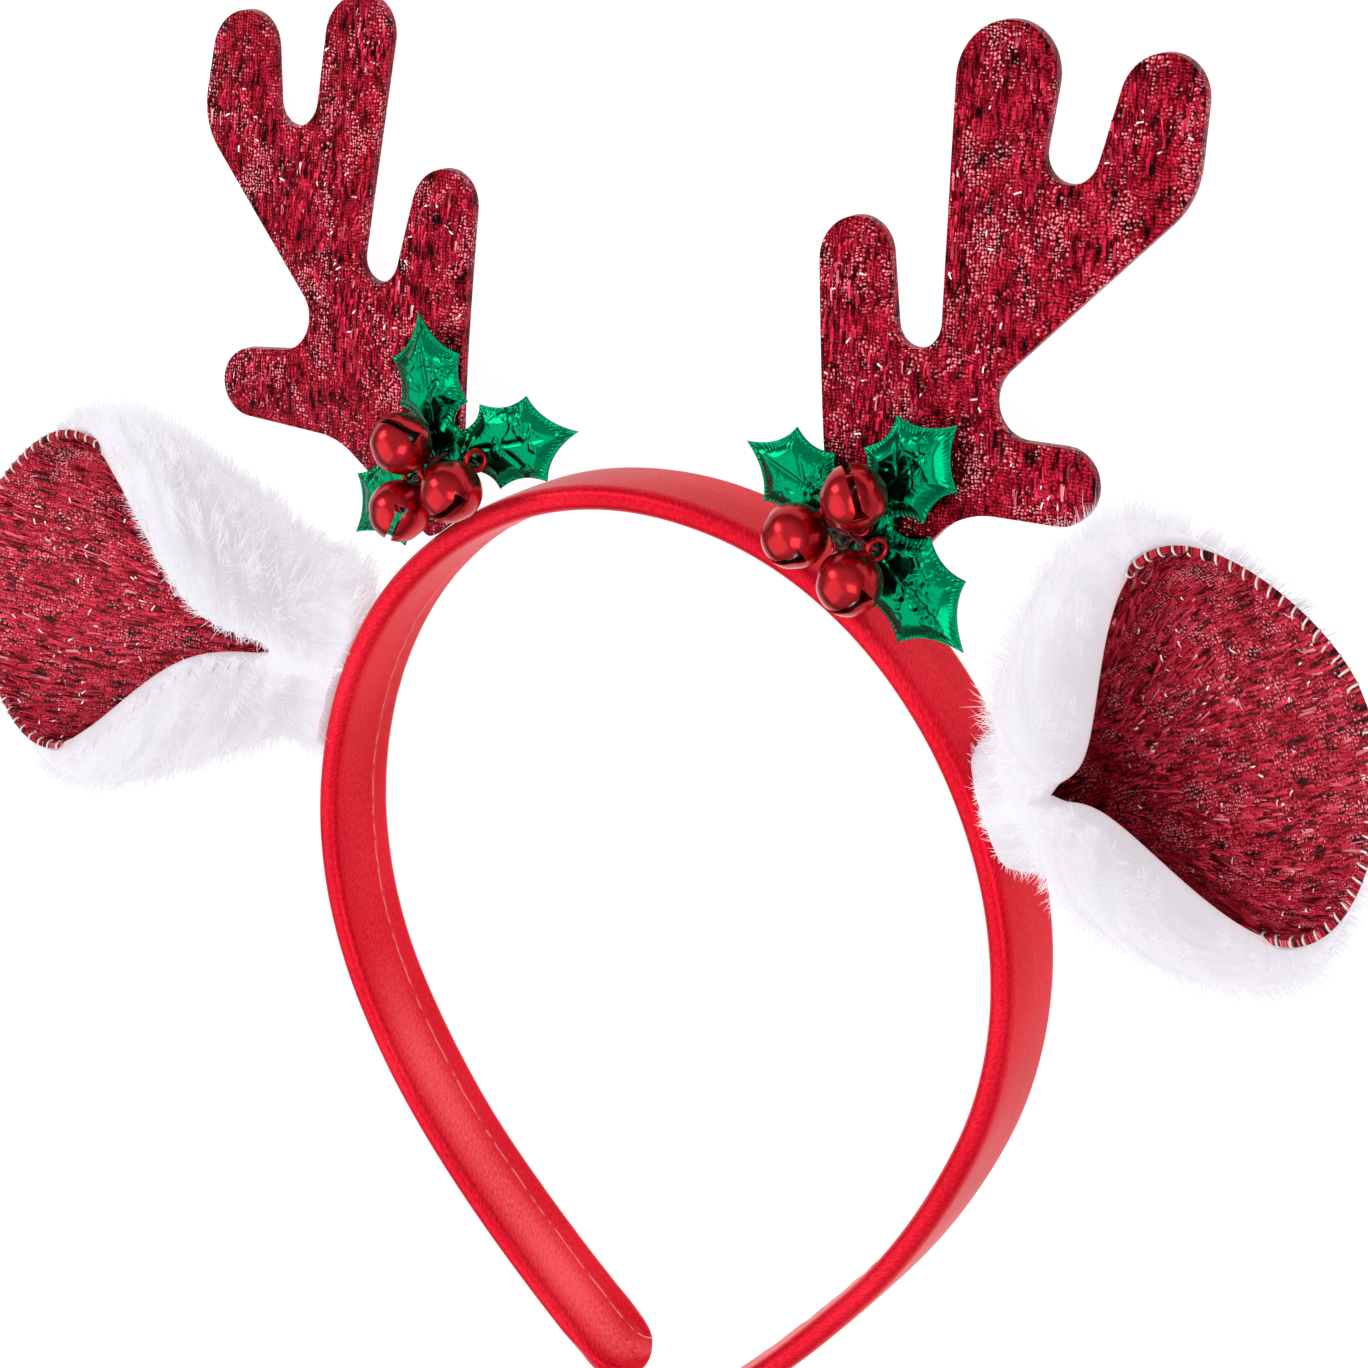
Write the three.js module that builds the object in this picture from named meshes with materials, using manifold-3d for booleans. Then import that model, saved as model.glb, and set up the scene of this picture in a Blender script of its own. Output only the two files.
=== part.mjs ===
// A festive headband lying on its back: a satin hoop with antlers, ears, holly and jingle bells.
// Millimetres. +X is the viewer's right, +Y the top of the worn headband, +Z its front.
// The floor is z = 0, and the origin is under the middle of the whole headband.
import * as THREE from 'three';
import { mergeVertices } from 'three/addons/utils/BufferGeometryUtils.js';
import Module from 'manifold-3d';

const wasm = await Module();
wasm.setup();

// Driving dimensions
const CLEARANCE = 0.3;
const WELD = 1e-4;
const CENTRE = { x: 1.7, y: 40.6 };
const BAND = { width: 15, thickness: 3.6, corner: 1.2 };
const BAND_TIP = { length: 7, steps: 4, sweep: 80, thin: 0.5 };
const BAND_ARCS = [
  { radius: 60.8, sweep: 55.0, steps: 8 },
  { radius: 68.3, sweep: 59.2, steps: 9 },
  { radius: 117.5, sweep: 17.3, steps: 4 },
  { radius: 317.0, sweep: 6.1, steps: 3 },
];
const ANTLER = { thickness: 1.8, footZ: 12.4, lean: 0.195, bendY: 10, bendSoftness: 14, arcSegments: 4 };
const EAR = { length: 58.8, at: [70.8, -34.0, 8.2], rootReach: 12, rootLift: 6, rimPower: 4 };
const EAR_GRID = { rootRows: 3, rows: 12, columns: 16, last: 0.995, crowding: 1.7 };
const LINING = { thickness: 1.0 };
const FUR = { gap: 0.45, backing: 1.4, floorGap: 0.5, seed: 11 };
const LOCK = { length: 8.0, shorten: 0.4, spread: 1.0, valley: 0.4, nap: 0.4 };
const LEAF = { rim: 0.8, puff: 2.4, puffScale: 0.7, backZ: 14.1 };
const LEAF_EDGE = { middle: 0.55, hollow: 0.32, curveSegments: 2 };
const HUB = { radius: 5.8, depth: 2, sides: 12 };
const BELL = { radius: 4.8, wall: 0.55, z: 21.6, around: 14, rings: 10 };
const BELL_HOLLOW = { around: 12, rings: 8 };
const BELL_LOOP = { radius: 1.25, wire: 0.45, sides: 4, segments: 8 };
const BELL_SLOT = { width: 1.0, flare: 1.55, drop: 0.6 };
const PELLET = { radius: 1.5, detail: 1 };
const FLOOR = { side: 400, depth: 40 };

// Antler outlines as belts run clockwise round circles: right on a tip and left in a valley. Each side's
// circle is its place outwards and upwards and its radius; the two antlers are cut a little differently.
const ANTLER_BELT = [
  { name: 'brow_tine', right: [35.7, 38.1, 5.7], left: [36.8, 40.0, 5.7], turn: 'tip' },
  { name: 'brow_valley', right: [46.6, 30.2, 3.7], left: [48.3, 31.6, 3.7], turn: 'valley' },
  { name: 'inner_tine', right: [56.8, 63.4, 7.6], left: [55.0, 64.4, 6.3], turn: 'tip' },
  { name: 'crown_valley', right: [67.7, 54.1, 4.2], left: [66.3, 54.6, 4.2], turn: 'valley' },
  { name: 'outer_tine', right: [80.1, 61.4, 6.2], left: [77.6, 61.4, 6.2], turn: 'tip' },
  { name: 'shoulder', right: [75.0, 53.6, 11.2], left: [73.5, 53.8, 11.2], turn: 'tip' },
  { name: 'notch', right: [64.6, 20.8, 5.3], left: [66.9, 21.4, 5.3], turn: 'valley' },
  { name: 'spur', right: [70.1, 10.0, 5.4], left: [73.4, 10.3, 5.4], turn: 'tip' },
  { name: 'arch', right: [60.1, -7.3, 12.1], left: [60.3, -8.4, 12.1], turn: 'valley' },
];

// An antler's foot round the crown of the band, in degrees from its middle: inner end and each side's outer.
const ANTLER_FOOT = { inner: 34.3, right: 39.5, left: 38.5, radius: 1.2, gap: 0.02 };

// Ear sections from the point where its edges meet to its tip: half width, half depth and wrap angle.
const EAR_SECTIONS = [
  { at: 0.0, halfWidth: 6.0, halfDepth: 4.8, wrap: 174 },
  { at: 0.3, halfWidth: 15.5, halfDepth: 6.4, wrap: 155 },
  { at: 0.62, halfWidth: 25.6, halfDepth: 7.5, wrap: 107 },
  { at: 1.0, halfWidth: 27.5, halfDepth: 9.8, wrap: 50 },
];

// Spines of one holly leaf: distance along it and half width, both as shares of its length.
const LEAF_SPINES = [
  { along: 0.1, half: 0.14 },
  { along: 0.36, half: 0.33 },
  { along: 0.7, half: 0.33 },
  { along: 1.0, half: 0.0 },
];

// Each side, measured outwards from the middle: how the ear is set, the holly's leaves, and the bells with
// where each one's mouth points, where its slot ends and where its loose ball lies.
const SIDES = [
  {
    name: 'right',
    mirror: 1,
    ear: { yaw: 28, pitch: 30, roll: -4 },
    sprig: { x: 40, y: 2.5 },
    leaves: [
      { angle: 44, length: 22, breadth: 0.95 },
      { angle: 153, length: 20.5, breadth: 0.95 },
      { angle: -46, length: 24, breadth: 0.95 },
    ],
    bells: [
      { x: 42.9, y: 7.5, mouth: [0.12, 0.96, 0.26], slit: [0.62, -0.35, 0.7], ball: [0, 0, -1] },
      { x: 33.2, y: 0.7, mouth: [-0.74, -0.52, 0.42], slit: [0.33, -0.56, 0.76], ball: [0.14, -0.7, 0.43] },
      { x: 42.1, y: -5.0, mouth: [-0.41, -0.73, 0.55], slit: [0.71, -0.32, 0.63], ball: [0.35, -0.62, 0.39] },
    ],
  },
  {
    name: 'left',
    mirror: -1,
    ear: { yaw: 14, pitch: 28, roll: -7 },
    sprig: { x: 33.5, y: 3.5 },
    leaves: [
      { angle: 82, length: 22, breadth: 0.9 },
      { angle: 166, length: 26.5, breadth: 0.75 },
      { angle: -39, length: 23, breadth: 0.9 },
    ],
    bells: [
      { x: 36.3, y: 6.4, mouth: [0.46, 0.76, 0.46], slit: [-0.92, 0.26, 0.3], ball: [0, 0, -1] },
      { x: 27.3, y: -0.1, mouth: [0.38, -0.71, 0.59], slit: [-0.83, 0.01, 0.56], ball: [0, 0, -1] },
      { x: 37.4, y: -4.3, mouth: [0.12, -0.83, 0.54], slit: [-0.57, 0.03, 0.82], ball: [0, 0, -1] },
    ],
  },
];

const FINISHES = {
  band: { color: 0xd81e2e, roughness: 0.35, metalness: 0.0 },
  antler: { color: 0x98142a, roughness: 0.35, metalness: 0.6 },
  ear_lining: { color: 0xa0152c, roughness: 0.35, metalness: 0.6 },
  ear_fur: { color: 0xf4f3f6, roughness: 0.9, metalness: 0.0 },
  holly: { color: 0x00a06a, roughness: 0.25, metalness: 0.8 },
  bell: { color: 0xc4121f, roughness: 0.25, metalness: 0.8 },
  pellet: { color: 0x9a9a9c, roughness: 0.35, metalness: 1.0 },
};

const radians = THREE.MathUtils.degToRad;

// Solids and their joins

function closedGeometry(points, triangles) {
  let volume = 0;
  const cross = new THREE.Vector3();
  for (const [a, b, c] of triangles) {
    volume += points[a].dot(cross.crossVectors(points[b], points[c]));
  }
  const facing = volume < 0 ? triangles.map(([a, b, c]) => [a, c, b]) : triangles;
  const geometry = new THREE.BufferGeometry();
  geometry.setAttribute('position', new THREE.Float32BufferAttribute(points.flatMap((p) => p.toArray()), 3));
  geometry.setIndex(facing.flat());
  return geometry;
}

function quad(a, b, c, d) {
  return [[a, b, c], [a, c, d]];
}

// A body swept through closed rings of equally many points, with flat ends.
function loft(rings) {
  const size = rings[0].length;
  const triangles = [];
  for (let i = 0; i + 1 < rings.length; i += 1) {
    for (let j = 0; j < size; j += 1) {
      const next = (j + 1) % size;
      triangles.push(...quad(i * size + j, i * size + next, (i + 1) * size + next, (i + 1) * size + j));
    }
  }
  const last = (rings.length - 1) * size;
  for (let j = 1; j + 1 < size; j += 1) {
    triangles.push([0, j + 1, j], [last, last + j, last + j + 1]);
  }
  return closedGeometry(rings.flat(), triangles);
}

// A curved sheet between an inner and an outer grid of points with equal rows and columns.
function sheet(inner, outer) {
  const rows = inner.length;
  const columns = inner[0].length;
  const layer = rows * columns;
  const triangles = [];
  for (let i = 0; i + 1 < rows; i += 1) {
    for (let j = 0; j + 1 < columns; j += 1) {
      const a = i * columns + j;
      triangles.push(...quad(a, a + 1, a + columns + 1, a + columns));
      triangles.push(...quad(layer + a, layer + a + columns, layer + a + columns + 1, layer + a + 1));
    }
    const left = i * columns;
    const right = left + columns - 1;
    triangles.push(...quad(left, left + columns, layer + left + columns, layer + left));
    triangles.push(...quad(right, layer + right, layer + right + columns, right + columns));
  }
  for (let j = 0; j + 1 < columns; j += 1) {
    const end = (rows - 1) * columns + j;
    triangles.push(...quad(j, layer + j, layer + j + 1, j + 1));
    triangles.push(...quad(end, end + 1, layer + end + 1, layer + end));
  }
  return closedGeometry([...inner.flat(), ...outer.flat()], triangles);
}

function toSolid(geometry) {
  const bare = geometry.clone();
  bare.deleteAttribute('normal');
  bare.deleteAttribute('uv');
  const merged = mergeVertices(bare, WELD);
  const vertProperties = new Float32Array(merged.getAttribute('position').array);
  const triVerts = new Uint32Array(merged.getIndex().array);
  return new wasm.Manifold(new wasm.Mesh({ numProp: 3, vertProperties, triVerts }));
}

function toGeometry(solid) {
  const mesh = solid.getMesh();
  const geometry = new THREE.BufferGeometry();
  geometry.setAttribute('position', new THREE.BufferAttribute(new Float32Array(mesh.vertProperties), 3));
  geometry.setIndex(new THREE.BufferAttribute(new Uint32Array(mesh.triVerts), 1));
  return geometry;
}

// Band

// Stations of the hoop's middle line from its crown to one tip, with the heading at each.
function halfHoop() {
  const stations = [{ x: 0, y: 0, heading: 0 }];
  for (const { radius, sweep, steps } of BAND_ARCS) {
    const turn = radians(sweep) / steps;
    const chord = 2 * radius * Math.sin(turn / 2);
    for (let i = 0; i < steps; i += 1) {
      const { x, y, heading } = stations.at(-1);
      const along = heading - turn / 2;
      stations.push({
        x: x + chord * Math.cos(along),
        y: y + chord * Math.sin(along),
        heading: heading - turn,
      });
    }
  }
  return stations;
}

// One rounded section of the band, narrowed by a share towards a tip.
function bandRing(station, share) {
  const halfThick = (BAND.thickness / 2) * THREE.MathUtils.lerp(BAND_TIP.thin, 1, share);
  const halfWide = (BAND.width / 2) * share;
  const corner = BAND.corner * Math.min(1, share);
  const outward = new THREE.Vector3(-Math.sin(station.heading), Math.cos(station.heading), 0);
  const ring = [];
  for (const [signOut, signUp, start] of [[1, 1, 0], [-1, 1, 90], [-1, -1, 180], [1, -1, 270]]) {
    for (const step of [0, 45, 90]) {
      const angle = radians(start + step);
      const out = signOut * (halfThick - corner) + corner * Math.cos(angle);
      const up = signUp * (halfWide - corner) + corner * Math.sin(angle);
      ring.push(new THREE.Vector3(station.x, station.y, BAND.width / 2 + up).addScaledVector(outward, out));
    }
  }
  return ring;
}

// The whole hoop: the half line mirrored, with sections that round off over the last stretch of each tip.
function bandGeometry() {
  const half = halfHoop();
  const end = half.at(-1);
  const tip = [];
  for (let i = 1; i <= BAND_TIP.steps; i += 1) {
    const angle = (radians(BAND_TIP.sweep) * i) / BAND_TIP.steps;
    const reach = BAND_TIP.length * Math.sin(angle);
    const x = end.x + reach * Math.cos(end.heading);
    const y = end.y + reach * Math.sin(end.heading);
    tip.push({ station: { x, y, heading: end.heading }, share: Math.cos(angle) });
  }
  const arm = [...half.map((station) => ({ station, share: 1 })), ...tip];
  const mirrored = ({ station, share }) => ({
    station: { x: -station.x, y: station.y, heading: -station.heading },
    share,
  });
  const whole = [...arm.slice(1).reverse().map(mirrored), ...arm];
  return loft(whole.map(({ station, share }) => bandRing(station, share)));
}

// A tall plug of the hoop's outer outline, which soft pieces outside the band are cut clear of.
function hoopPlug() {
  const swell = BAND.thickness / 2 + CLEARANCE;
  const outside = halfHoop().map(({ x, y, heading }) => new THREE.Vector2(
    x - swell * Math.sin(heading),
    y + swell * Math.cos(heading),
  ));
  const mirrored = outside.slice(1).reverse().map(({ x, y }) => new THREE.Vector2(-x, y));
  const outline = new THREE.Shape([...mirrored, ...outside]);
  const plug = new THREE.ExtrudeGeometry(outline, { depth: 4 * BAND.width, bevelEnabled: false });
  return toSolid(plug.translate(0, 0, -BAND.width));
}

// Antlers

// The closed outline round a belt of circles: arcs joined by their common tangents.
function beltShape(belt) {
  const signed = belt.map((circle) => (circle.turn === 'tip' ? circle.radius : -circle.radius));
  const headings = belt.map((circle, i) => {
    const next = belt[(i + 1) % belt.length];
    const apart = Math.hypot(next.x - circle.x, next.y - circle.y);
    const bearing = Math.atan2(next.y - circle.y, next.x - circle.x);
    return bearing + Math.asin((signed[(i + 1) % belt.length] - signed[i]) / apart);
  });
  const shape = new THREE.Shape();
  belt.forEach((circle, i) => {
    const arriving = headings.at(i - 1);
    const leaving = headings[i];
    const tip = circle.turn === 'tip';
    const side = tip ? Math.PI / 2 : -Math.PI / 2;
    shape.absarc(circle.x, circle.y, circle.radius, arriving + side, leaving + side, tip);
  });
  shape.closePath();
  return shape;
}

// The back of the antler's sheet: upright at its foot, then leaning back in a soft bend.
function antlerBackZ(y) {
  const beyond = y - ANTLER.bendY;
  return ANTLER.footZ - (ANTLER.lean * (beyond + Math.hypot(beyond, ANTLER.bendSoftness))) / 2;
}

// The belt closes over the band's own circle, so that the foot follows the band's outer face.
function antlerBelt(sideName) {
  const crown = BAND_ARCS[0].radius;
  const saddleRadius = crown + BAND.thickness / 2 + CLEARANCE;
  const corner = (degrees) => {
    const reach = saddleRadius + ANTLER_FOOT.radius + ANTLER_FOOT.gap;
    const angle = radians(degrees);
    const x = reach * Math.sin(angle);
    const y = reach * Math.cos(angle) - crown;
    return { x, y, radius: ANTLER_FOOT.radius, turn: 'tip' };
  };
  const tines = ANTLER_BELT.map((row) => {
    const [x, y, radius] = row[sideName];
    return { x, y, radius, turn: row.turn };
  });
  const saddle = { x: 0, y: -crown, radius: saddleRadius, turn: 'valley' };
  return [corner(ANTLER_FOOT.inner), ...tines, corner(ANTLER_FOOT[sideName]), saddle];
}

function antlerGeometry(sideName) {
  const shape = beltShape(antlerBelt(sideName));
  const settings = { depth: ANTLER.thickness, bevelEnabled: false, curveSegments: ANTLER.arcSegments };
  const geometry = new THREE.ExtrudeGeometry(shape, settings);
  const position = geometry.getAttribute('position');
  for (let i = 0; i < position.count; i += 1) {
    position.setZ(i, position.getZ(i) + antlerBackZ(position.getY(i)));
  }
  return toGeometry(toSolid(geometry));
}

// Ears

function column(name) {
  const places = Float32Array.from(EAR_SECTIONS.map((row) => row.at));
  const values = Float32Array.from(EAR_SECTIONS.map((row) => row[name]));
  return new THREE.CubicInterpolant(places, values, 1);
}

const earHalfWidth = column('halfWidth');
const earHalfDepth = column('halfDepth');
const earWrap = column('wrap');

// The ear's section at a share of its length, negative in the closed root behind the open part.
function earSection(share) {
  const held = Math.max(share, 0);
  const closing = Math.sqrt(1 - Math.min(held, 1) ** EAR.rimPower);
  const behind = Math.min(share, 0);
  return {
    along: share * EAR.length,
    lift: EAR.rootLift * ((behind * EAR.length) / EAR.rootReach) ** 2,
    halfWidth: earHalfWidth.evaluate(held)[0],
    halfDepth: earHalfDepth.evaluate(held)[0],
    wrap: radians(earWrap.evaluate(held)[0]) * closing,
  };
}

// A point of the ear: along its length, round its section, and outwards from the lining's inner face.
function earPoint(section, angle, outward) {
  const across = (section.halfWidth + outward) * Math.sin(angle);
  const forward = section.lift - (section.halfDepth + outward) * Math.cos(angle);
  return new THREE.Vector3(section.along, across, forward);
}

// Shares of the length for the open part, crowded towards the round tip, with the root's own ahead of them.
function earShares(withRoot) {
  const { rootRows, rows, last, crowding } = EAR_GRID;
  const shares = [];
  if (withRoot) {
    for (let i = rootRows; i > 0; i -= 1) {
      shares.push((-EAR.rootReach / EAR.length) * (i / rootRows));
    }
  }
  for (let i = 0; i <= rows; i += 1) {
    shares.push(last * (1 - (1 - i / rows) ** crowding));
  }
  return shares;
}

function earGrid(shares, outward) {
  return shares.map((share) => {
    const section = earSection(share);
    const row = [];
    for (let j = 0; j <= EAR_GRID.columns; j += 1) {
      row.push(earPoint(section, section.wrap * ((2 * j) / EAR_GRID.columns - 1), outward));
    }
    return row;
  });
}

function earPlacement(set) {
  const turn = new THREE.Euler(radians(set.roll), -radians(set.pitch), radians(set.yaw), 'ZYX');
  const matrix = new THREE.Matrix4().makeRotationFromEuler(turn);
  return matrix.setPosition(...EAR.at);
}

function liningGeometry(set) {
  const shares = earShares(false);
  return sheet(earGrid(shares, 0), earGrid(shares, LINING.thickness)).applyMatrix4(earPlacement(set));
}

// A small repeatable sequence of numbers between 0 and 1.
function sequence(seed) {
  let state = seed;
  return () => {
    state = (state * 16807) % 2147483647;
    return state / 2147483647;
  };
}

// How far the fur stands off its backing inside its edges: a lock at every other place of the grid, a share
// of a lock between them, and shorter towards the ear's tip.
function furRise(share, withLock, random) {
  const length = LOCK.length * (1 - LOCK.shorten * Math.max(share, 0));
  if (!withLock) {
    return { out: length * LOCK.valley, lean: 0 };
  }
  const grown = length + LOCK.spread * (2 * random() - 1);
  return { out: grown, lean: LOCK.nap * grown };
}

// The fur: a backing round the lining whose outer face rises into locks that lean with the nap.
function furGeometry(set, cutters, seed) {
  const random = sequence(seed);
  const innerOut = LINING.thickness + FUR.gap;
  const shares = earShares(true);
  const inner = earGrid(shares, innerOut);
  const outer = earGrid(shares, innerOut + FUR.backing);
  const lastRow = shares.length - 1;
  outer.forEach((row, i) => {
    row.forEach((point, j) => {
      if (i === 0 || i === lastRow || j === 0 || j === EAR_GRID.columns) {
        return;
      }
      const rise = furRise(shares[i], (i + j) % 2 === 0, random);
      const outward = point.clone().sub(inner[i][j]).normalize();
      point.addScaledVector(outward, rise.out);
      point.x += rise.lean;
    });
  });
  let fur = toSolid(sheet(inner, outer).applyMatrix4(earPlacement(set)));
  for (const cutter of cutters) {
    fur = fur.subtract(cutter);
  }
  const bodies = fur.decompose().sort((a, b) => b.volume() - a.volume());
  return toGeometry(bodies[0]);
}

// Holly

// One leaf along +X, scaled about its middle: spines on both edges with hollow curves between them.
function leafShape({ length, breadth }, scale) {
  const middle = length * LEAF_EDGE.middle;
  const place = (along, half) => new THREE.Vector2(
    middle + (along * length - middle) * scale,
    half * breadth * length * scale,
  );
  const edge = LEAF_SPINES.map(({ along, half }) => place(along, half));
  const back = LEAF_SPINES.slice(0, -1).reverse().map(({ along, half }) => place(along, -half));
  const corners = [...edge, ...back];
  const centre = place(LEAF_EDGE.middle, 0);
  const shape = new THREE.Shape();
  shape.moveTo(corners[0].x, corners[0].y);
  corners.slice(1).forEach((corner, i) => {
    const pull = corners[i].clone().add(corner).multiplyScalar(0.5).lerp(centre, LEAF_EDGE.hollow);
    shape.quadraticCurveTo(pull.x, pull.y, corner.x, corner.y);
  });
  shape.closePath();
  return shape;
}

function leafSlab(leaf, scale, depth) {
  const shape = leafShape(leaf, scale);
  const settings = { depth, bevelEnabled: false, curveSegments: LEAF_EDGE.curveSegments };
  const slab = new THREE.ExtrudeGeometry(shape, settings);
  return slab.translate(0, 0, (LEAF.puff - depth) / 2);
}

// Three leaves round a hub, each with a thin sealed rim and a puffed middle.
function hollyGeometry({ sprig, leaves }) {
  const hub = new THREE.CylinderGeometry(HUB.radius, HUB.radius, HUB.depth, HUB.sides);
  const parts = [toSolid(hub.rotateX(Math.PI / 2).translate(0, 0, LEAF.puff / 2))];
  for (const leaf of leaves) {
    const slabs = [leafSlab(leaf, 1, LEAF.rim), leafSlab(leaf, LEAF.puffScale, LEAF.puff)];
    parts.push(...slabs.map((slab) => toSolid(slab.rotateZ(radians(leaf.angle)))));
  }
  return toGeometry(wasm.Manifold.union(parts)).translate(sprig.x, sprig.y, LEAF.backZ);
}

// Bells

// A pressed hollow ball, mouth down, with a slot over its mouth that flares at both ends, and a wire loop.
function bellSolid() {
  const ball = new THREE.SphereGeometry(BELL.radius, BELL.around, BELL.rings);
  const loop = new THREE.TorusGeometry(BELL_LOOP.radius, BELL_LOOP.wire, BELL_LOOP.sides, BELL_LOOP.segments);
  loop.translate(0, BELL.radius + BELL_LOOP.radius - BELL_LOOP.wire, 0);
  const reach = 2.2 * BELL.radius;
  const hollow = new THREE.SphereGeometry(BELL.radius - BELL.wall, BELL_HOLLOW.around, BELL_HOLLOW.rings);
  const slot = new THREE.BoxGeometry(BELL_SLOT.width, BELL.radius, reach);
  slot.translate(0, -BELL_SLOT.drop - BELL.radius / 2, 0);
  const flare = new THREE.CylinderGeometry(BELL_SLOT.flare, BELL_SLOT.flare, reach, 3);
  flare.rotateX(Math.PI / 2).translate(0, -BELL_SLOT.drop, 0);
  const cuts = [hollow, slot, flare].map(toSolid);
  return toSolid(ball).add(toSolid(loop)).subtract(wasm.Manifold.union(cuts));
}

// Assembly

function finish(kind) {
  return new THREE.MeshStandardMaterial(FINISHES[kind]);
}

function addMesh(group, name, geometry, kind) {
  const mesh = new THREE.Mesh(geometry, finish(kind));
  mesh.name = name;
  group.add(mesh);
  return mesh;
}

function addBell(group, side, row, number, geometry) {
  const top = new THREE.Vector3(...row.mouth).normalize().negate();
  const ahead = new THREE.Vector3(...row.slit).projectOnPlane(top).normalize();
  const across = top.clone().cross(ahead);
  const bell = addMesh(group, `bell_${side.name}_${number}`, geometry, 'bell');
  bell.position.set(row.x, row.y, BELL.z);
  bell.quaternion.setFromRotationMatrix(new THREE.Matrix4().makeBasis(across, top, ahead));
  const ball = new THREE.IcosahedronGeometry(PELLET.radius, PELLET.detail);
  ball.deleteAttribute('uv');
  ball.deleteAttribute('normal');
  const pellet = addMesh(group, `pellet_${side.name}_${number}`, mergeVertices(ball), 'pellet');
  const rest = BELL.radius - BELL.wall - PELLET.radius - 2 * CLEARANCE;
  pellet.position.copy(bell.position).addScaledVector(new THREE.Vector3(...row.ball).normalize(), rest);
}

const headband = new THREE.Group();
headband.position.set(CENTRE.x, CENTRE.y, 0);
addMesh(headband, 'band', bandGeometry(), 'band');

const floorBlock = new THREE.BoxGeometry(FLOOR.side, FLOOR.side, FLOOR.depth);
floorBlock.translate(0, 0, FUR.floorGap - FLOOR.depth / 2);
const furCutters = [hoopPlug(), toSolid(floorBlock)];
const bell = toGeometry(bellSolid());

SIDES.forEach((side, i) => {
  const half = new THREE.Group();
  half.scale.x = side.mirror;
  addMesh(half, `antler_${side.name}`, antlerGeometry(side.name), 'antler');
  addMesh(half, `ear_lining_${side.name}`, liningGeometry(side.ear), 'ear_lining');
  const fur = furGeometry(side.ear, furCutters, FUR.seed + i);
  addMesh(half, `ear_fur_${side.name}`, fur, 'ear_fur');
  addMesh(half, `holly_${side.name}`, hollyGeometry(side), 'holly');
  side.bells.forEach((row, j) => addBell(half, side, row, j + 1, bell));
  headband.add(half);
});

export default headband;
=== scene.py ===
import math
from functools import partial

import bmesh
import bpy
import numpy as np
from mathutils import Matrix, Vector, noise


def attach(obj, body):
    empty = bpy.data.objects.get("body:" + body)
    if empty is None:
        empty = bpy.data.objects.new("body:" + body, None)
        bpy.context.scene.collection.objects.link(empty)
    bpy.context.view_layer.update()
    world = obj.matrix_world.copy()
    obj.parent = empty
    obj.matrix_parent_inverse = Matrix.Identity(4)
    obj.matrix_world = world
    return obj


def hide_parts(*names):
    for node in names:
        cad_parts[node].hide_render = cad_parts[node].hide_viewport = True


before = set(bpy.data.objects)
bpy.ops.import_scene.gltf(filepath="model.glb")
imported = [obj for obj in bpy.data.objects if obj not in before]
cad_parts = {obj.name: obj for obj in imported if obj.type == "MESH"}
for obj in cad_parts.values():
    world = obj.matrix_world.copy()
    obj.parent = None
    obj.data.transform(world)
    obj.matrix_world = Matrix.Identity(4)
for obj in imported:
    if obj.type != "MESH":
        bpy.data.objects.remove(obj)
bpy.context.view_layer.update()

# Driving sizes in millimetres, about the crown of the band's middle line with the floor at z = 0
MM = 0.001
CENTRE = np.array([1.7, 40.6, 0.0])
BAND = {
    "width": 15.0, "thickness": 3.6, "corner": 1.7, "tip": 7.0, "tip_thin": 0.5, "step": 1.0, "round": 84,
}
# Arcs of the band's middle line from its crown: radius, sweep in degrees
BAND_ARCS = [(60.8, 55.0), (68.3, 59.2), (117.5, 17.3), (317.0, 6.1)]
SLEEVE = {"crown": 0.22, "swell": 0.12, "gather": 0.45, "gather_from": 8, "tip_steps": 14}
SEAM = {"from_back": 5.0, "around": 19.6, "step": 0.32, "fade": 6.0, "pucker": 0.16, "pucker_reach": 2.4}
ANTLER = {
    "thickness": 1.8, "foot_z": 12.4, "lean": 0.195, "bend_y": 10.0, "softness": 14.0, "edge": 0.35,
    "foot_radius": 1.2, "foot_lift": 0.02, "gap": 0.3, "cut_step": 2.0, "tries": 6000, "strand": 3.2,
    "spacing": 0.8,
}
# Tinsel strands: lengths as shares of the longest, widths, lengths of slivers, shares of slivers and dark;
# slivers are painted glints
STRAND = {"length": (0.4, 1.0), "width": (0.2, 0.46), "sliver": (0.7, 1.6), "slivers": 0.08, "dark": 0.38}
EAR = {
    "length": 58.8, "root": 12.0, "root_lift": 6.0, "lining": 1.0, "gap": 0.45, "backing": 1.4,
    "lining_from": -0.19, "last": 0.997, "tries": 2400, "strand": 4.4,
}
EAR_AT = np.array([70.8, -34.0, 8.2])
SKIN = EAR["lining"] + EAR["gap"] + EAR["backing"]
FUR_FROM = -EAR["root"] / EAR["length"]
PILE = {
    "shoulder": 8.5, "fold": 2.2, "set_back": 0.06, "tip_thin": 0.88, "notch": 0.55,
    "length": 5.2, "width": 0.12, "hairs": 52000, "at_edge": 0.35, "edge_reach": 4.5, "tuft": 2.6,
}
# What leads a hair, at first and then: outwards, the nap, its tuft, chance, its fall, and lean at an edge
HAIR = {
    "out": 0.7, "nap": (0.8, 0.5), "tuft": (0.25, 0.2), "chance": (0.22, 0.2), "fall": 0.12,
    "lean": 0.35, "close": 1.2, "joints": (0.38, 0.34, 0.3), "taper": (1.0, 0.85, 0.6),
}
STITCH = {"pitch": 2.05, "from": 0.6, "flap_from": 0.12, "rim_radius": 0.17, "flap_radius": 0.12}
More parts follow.
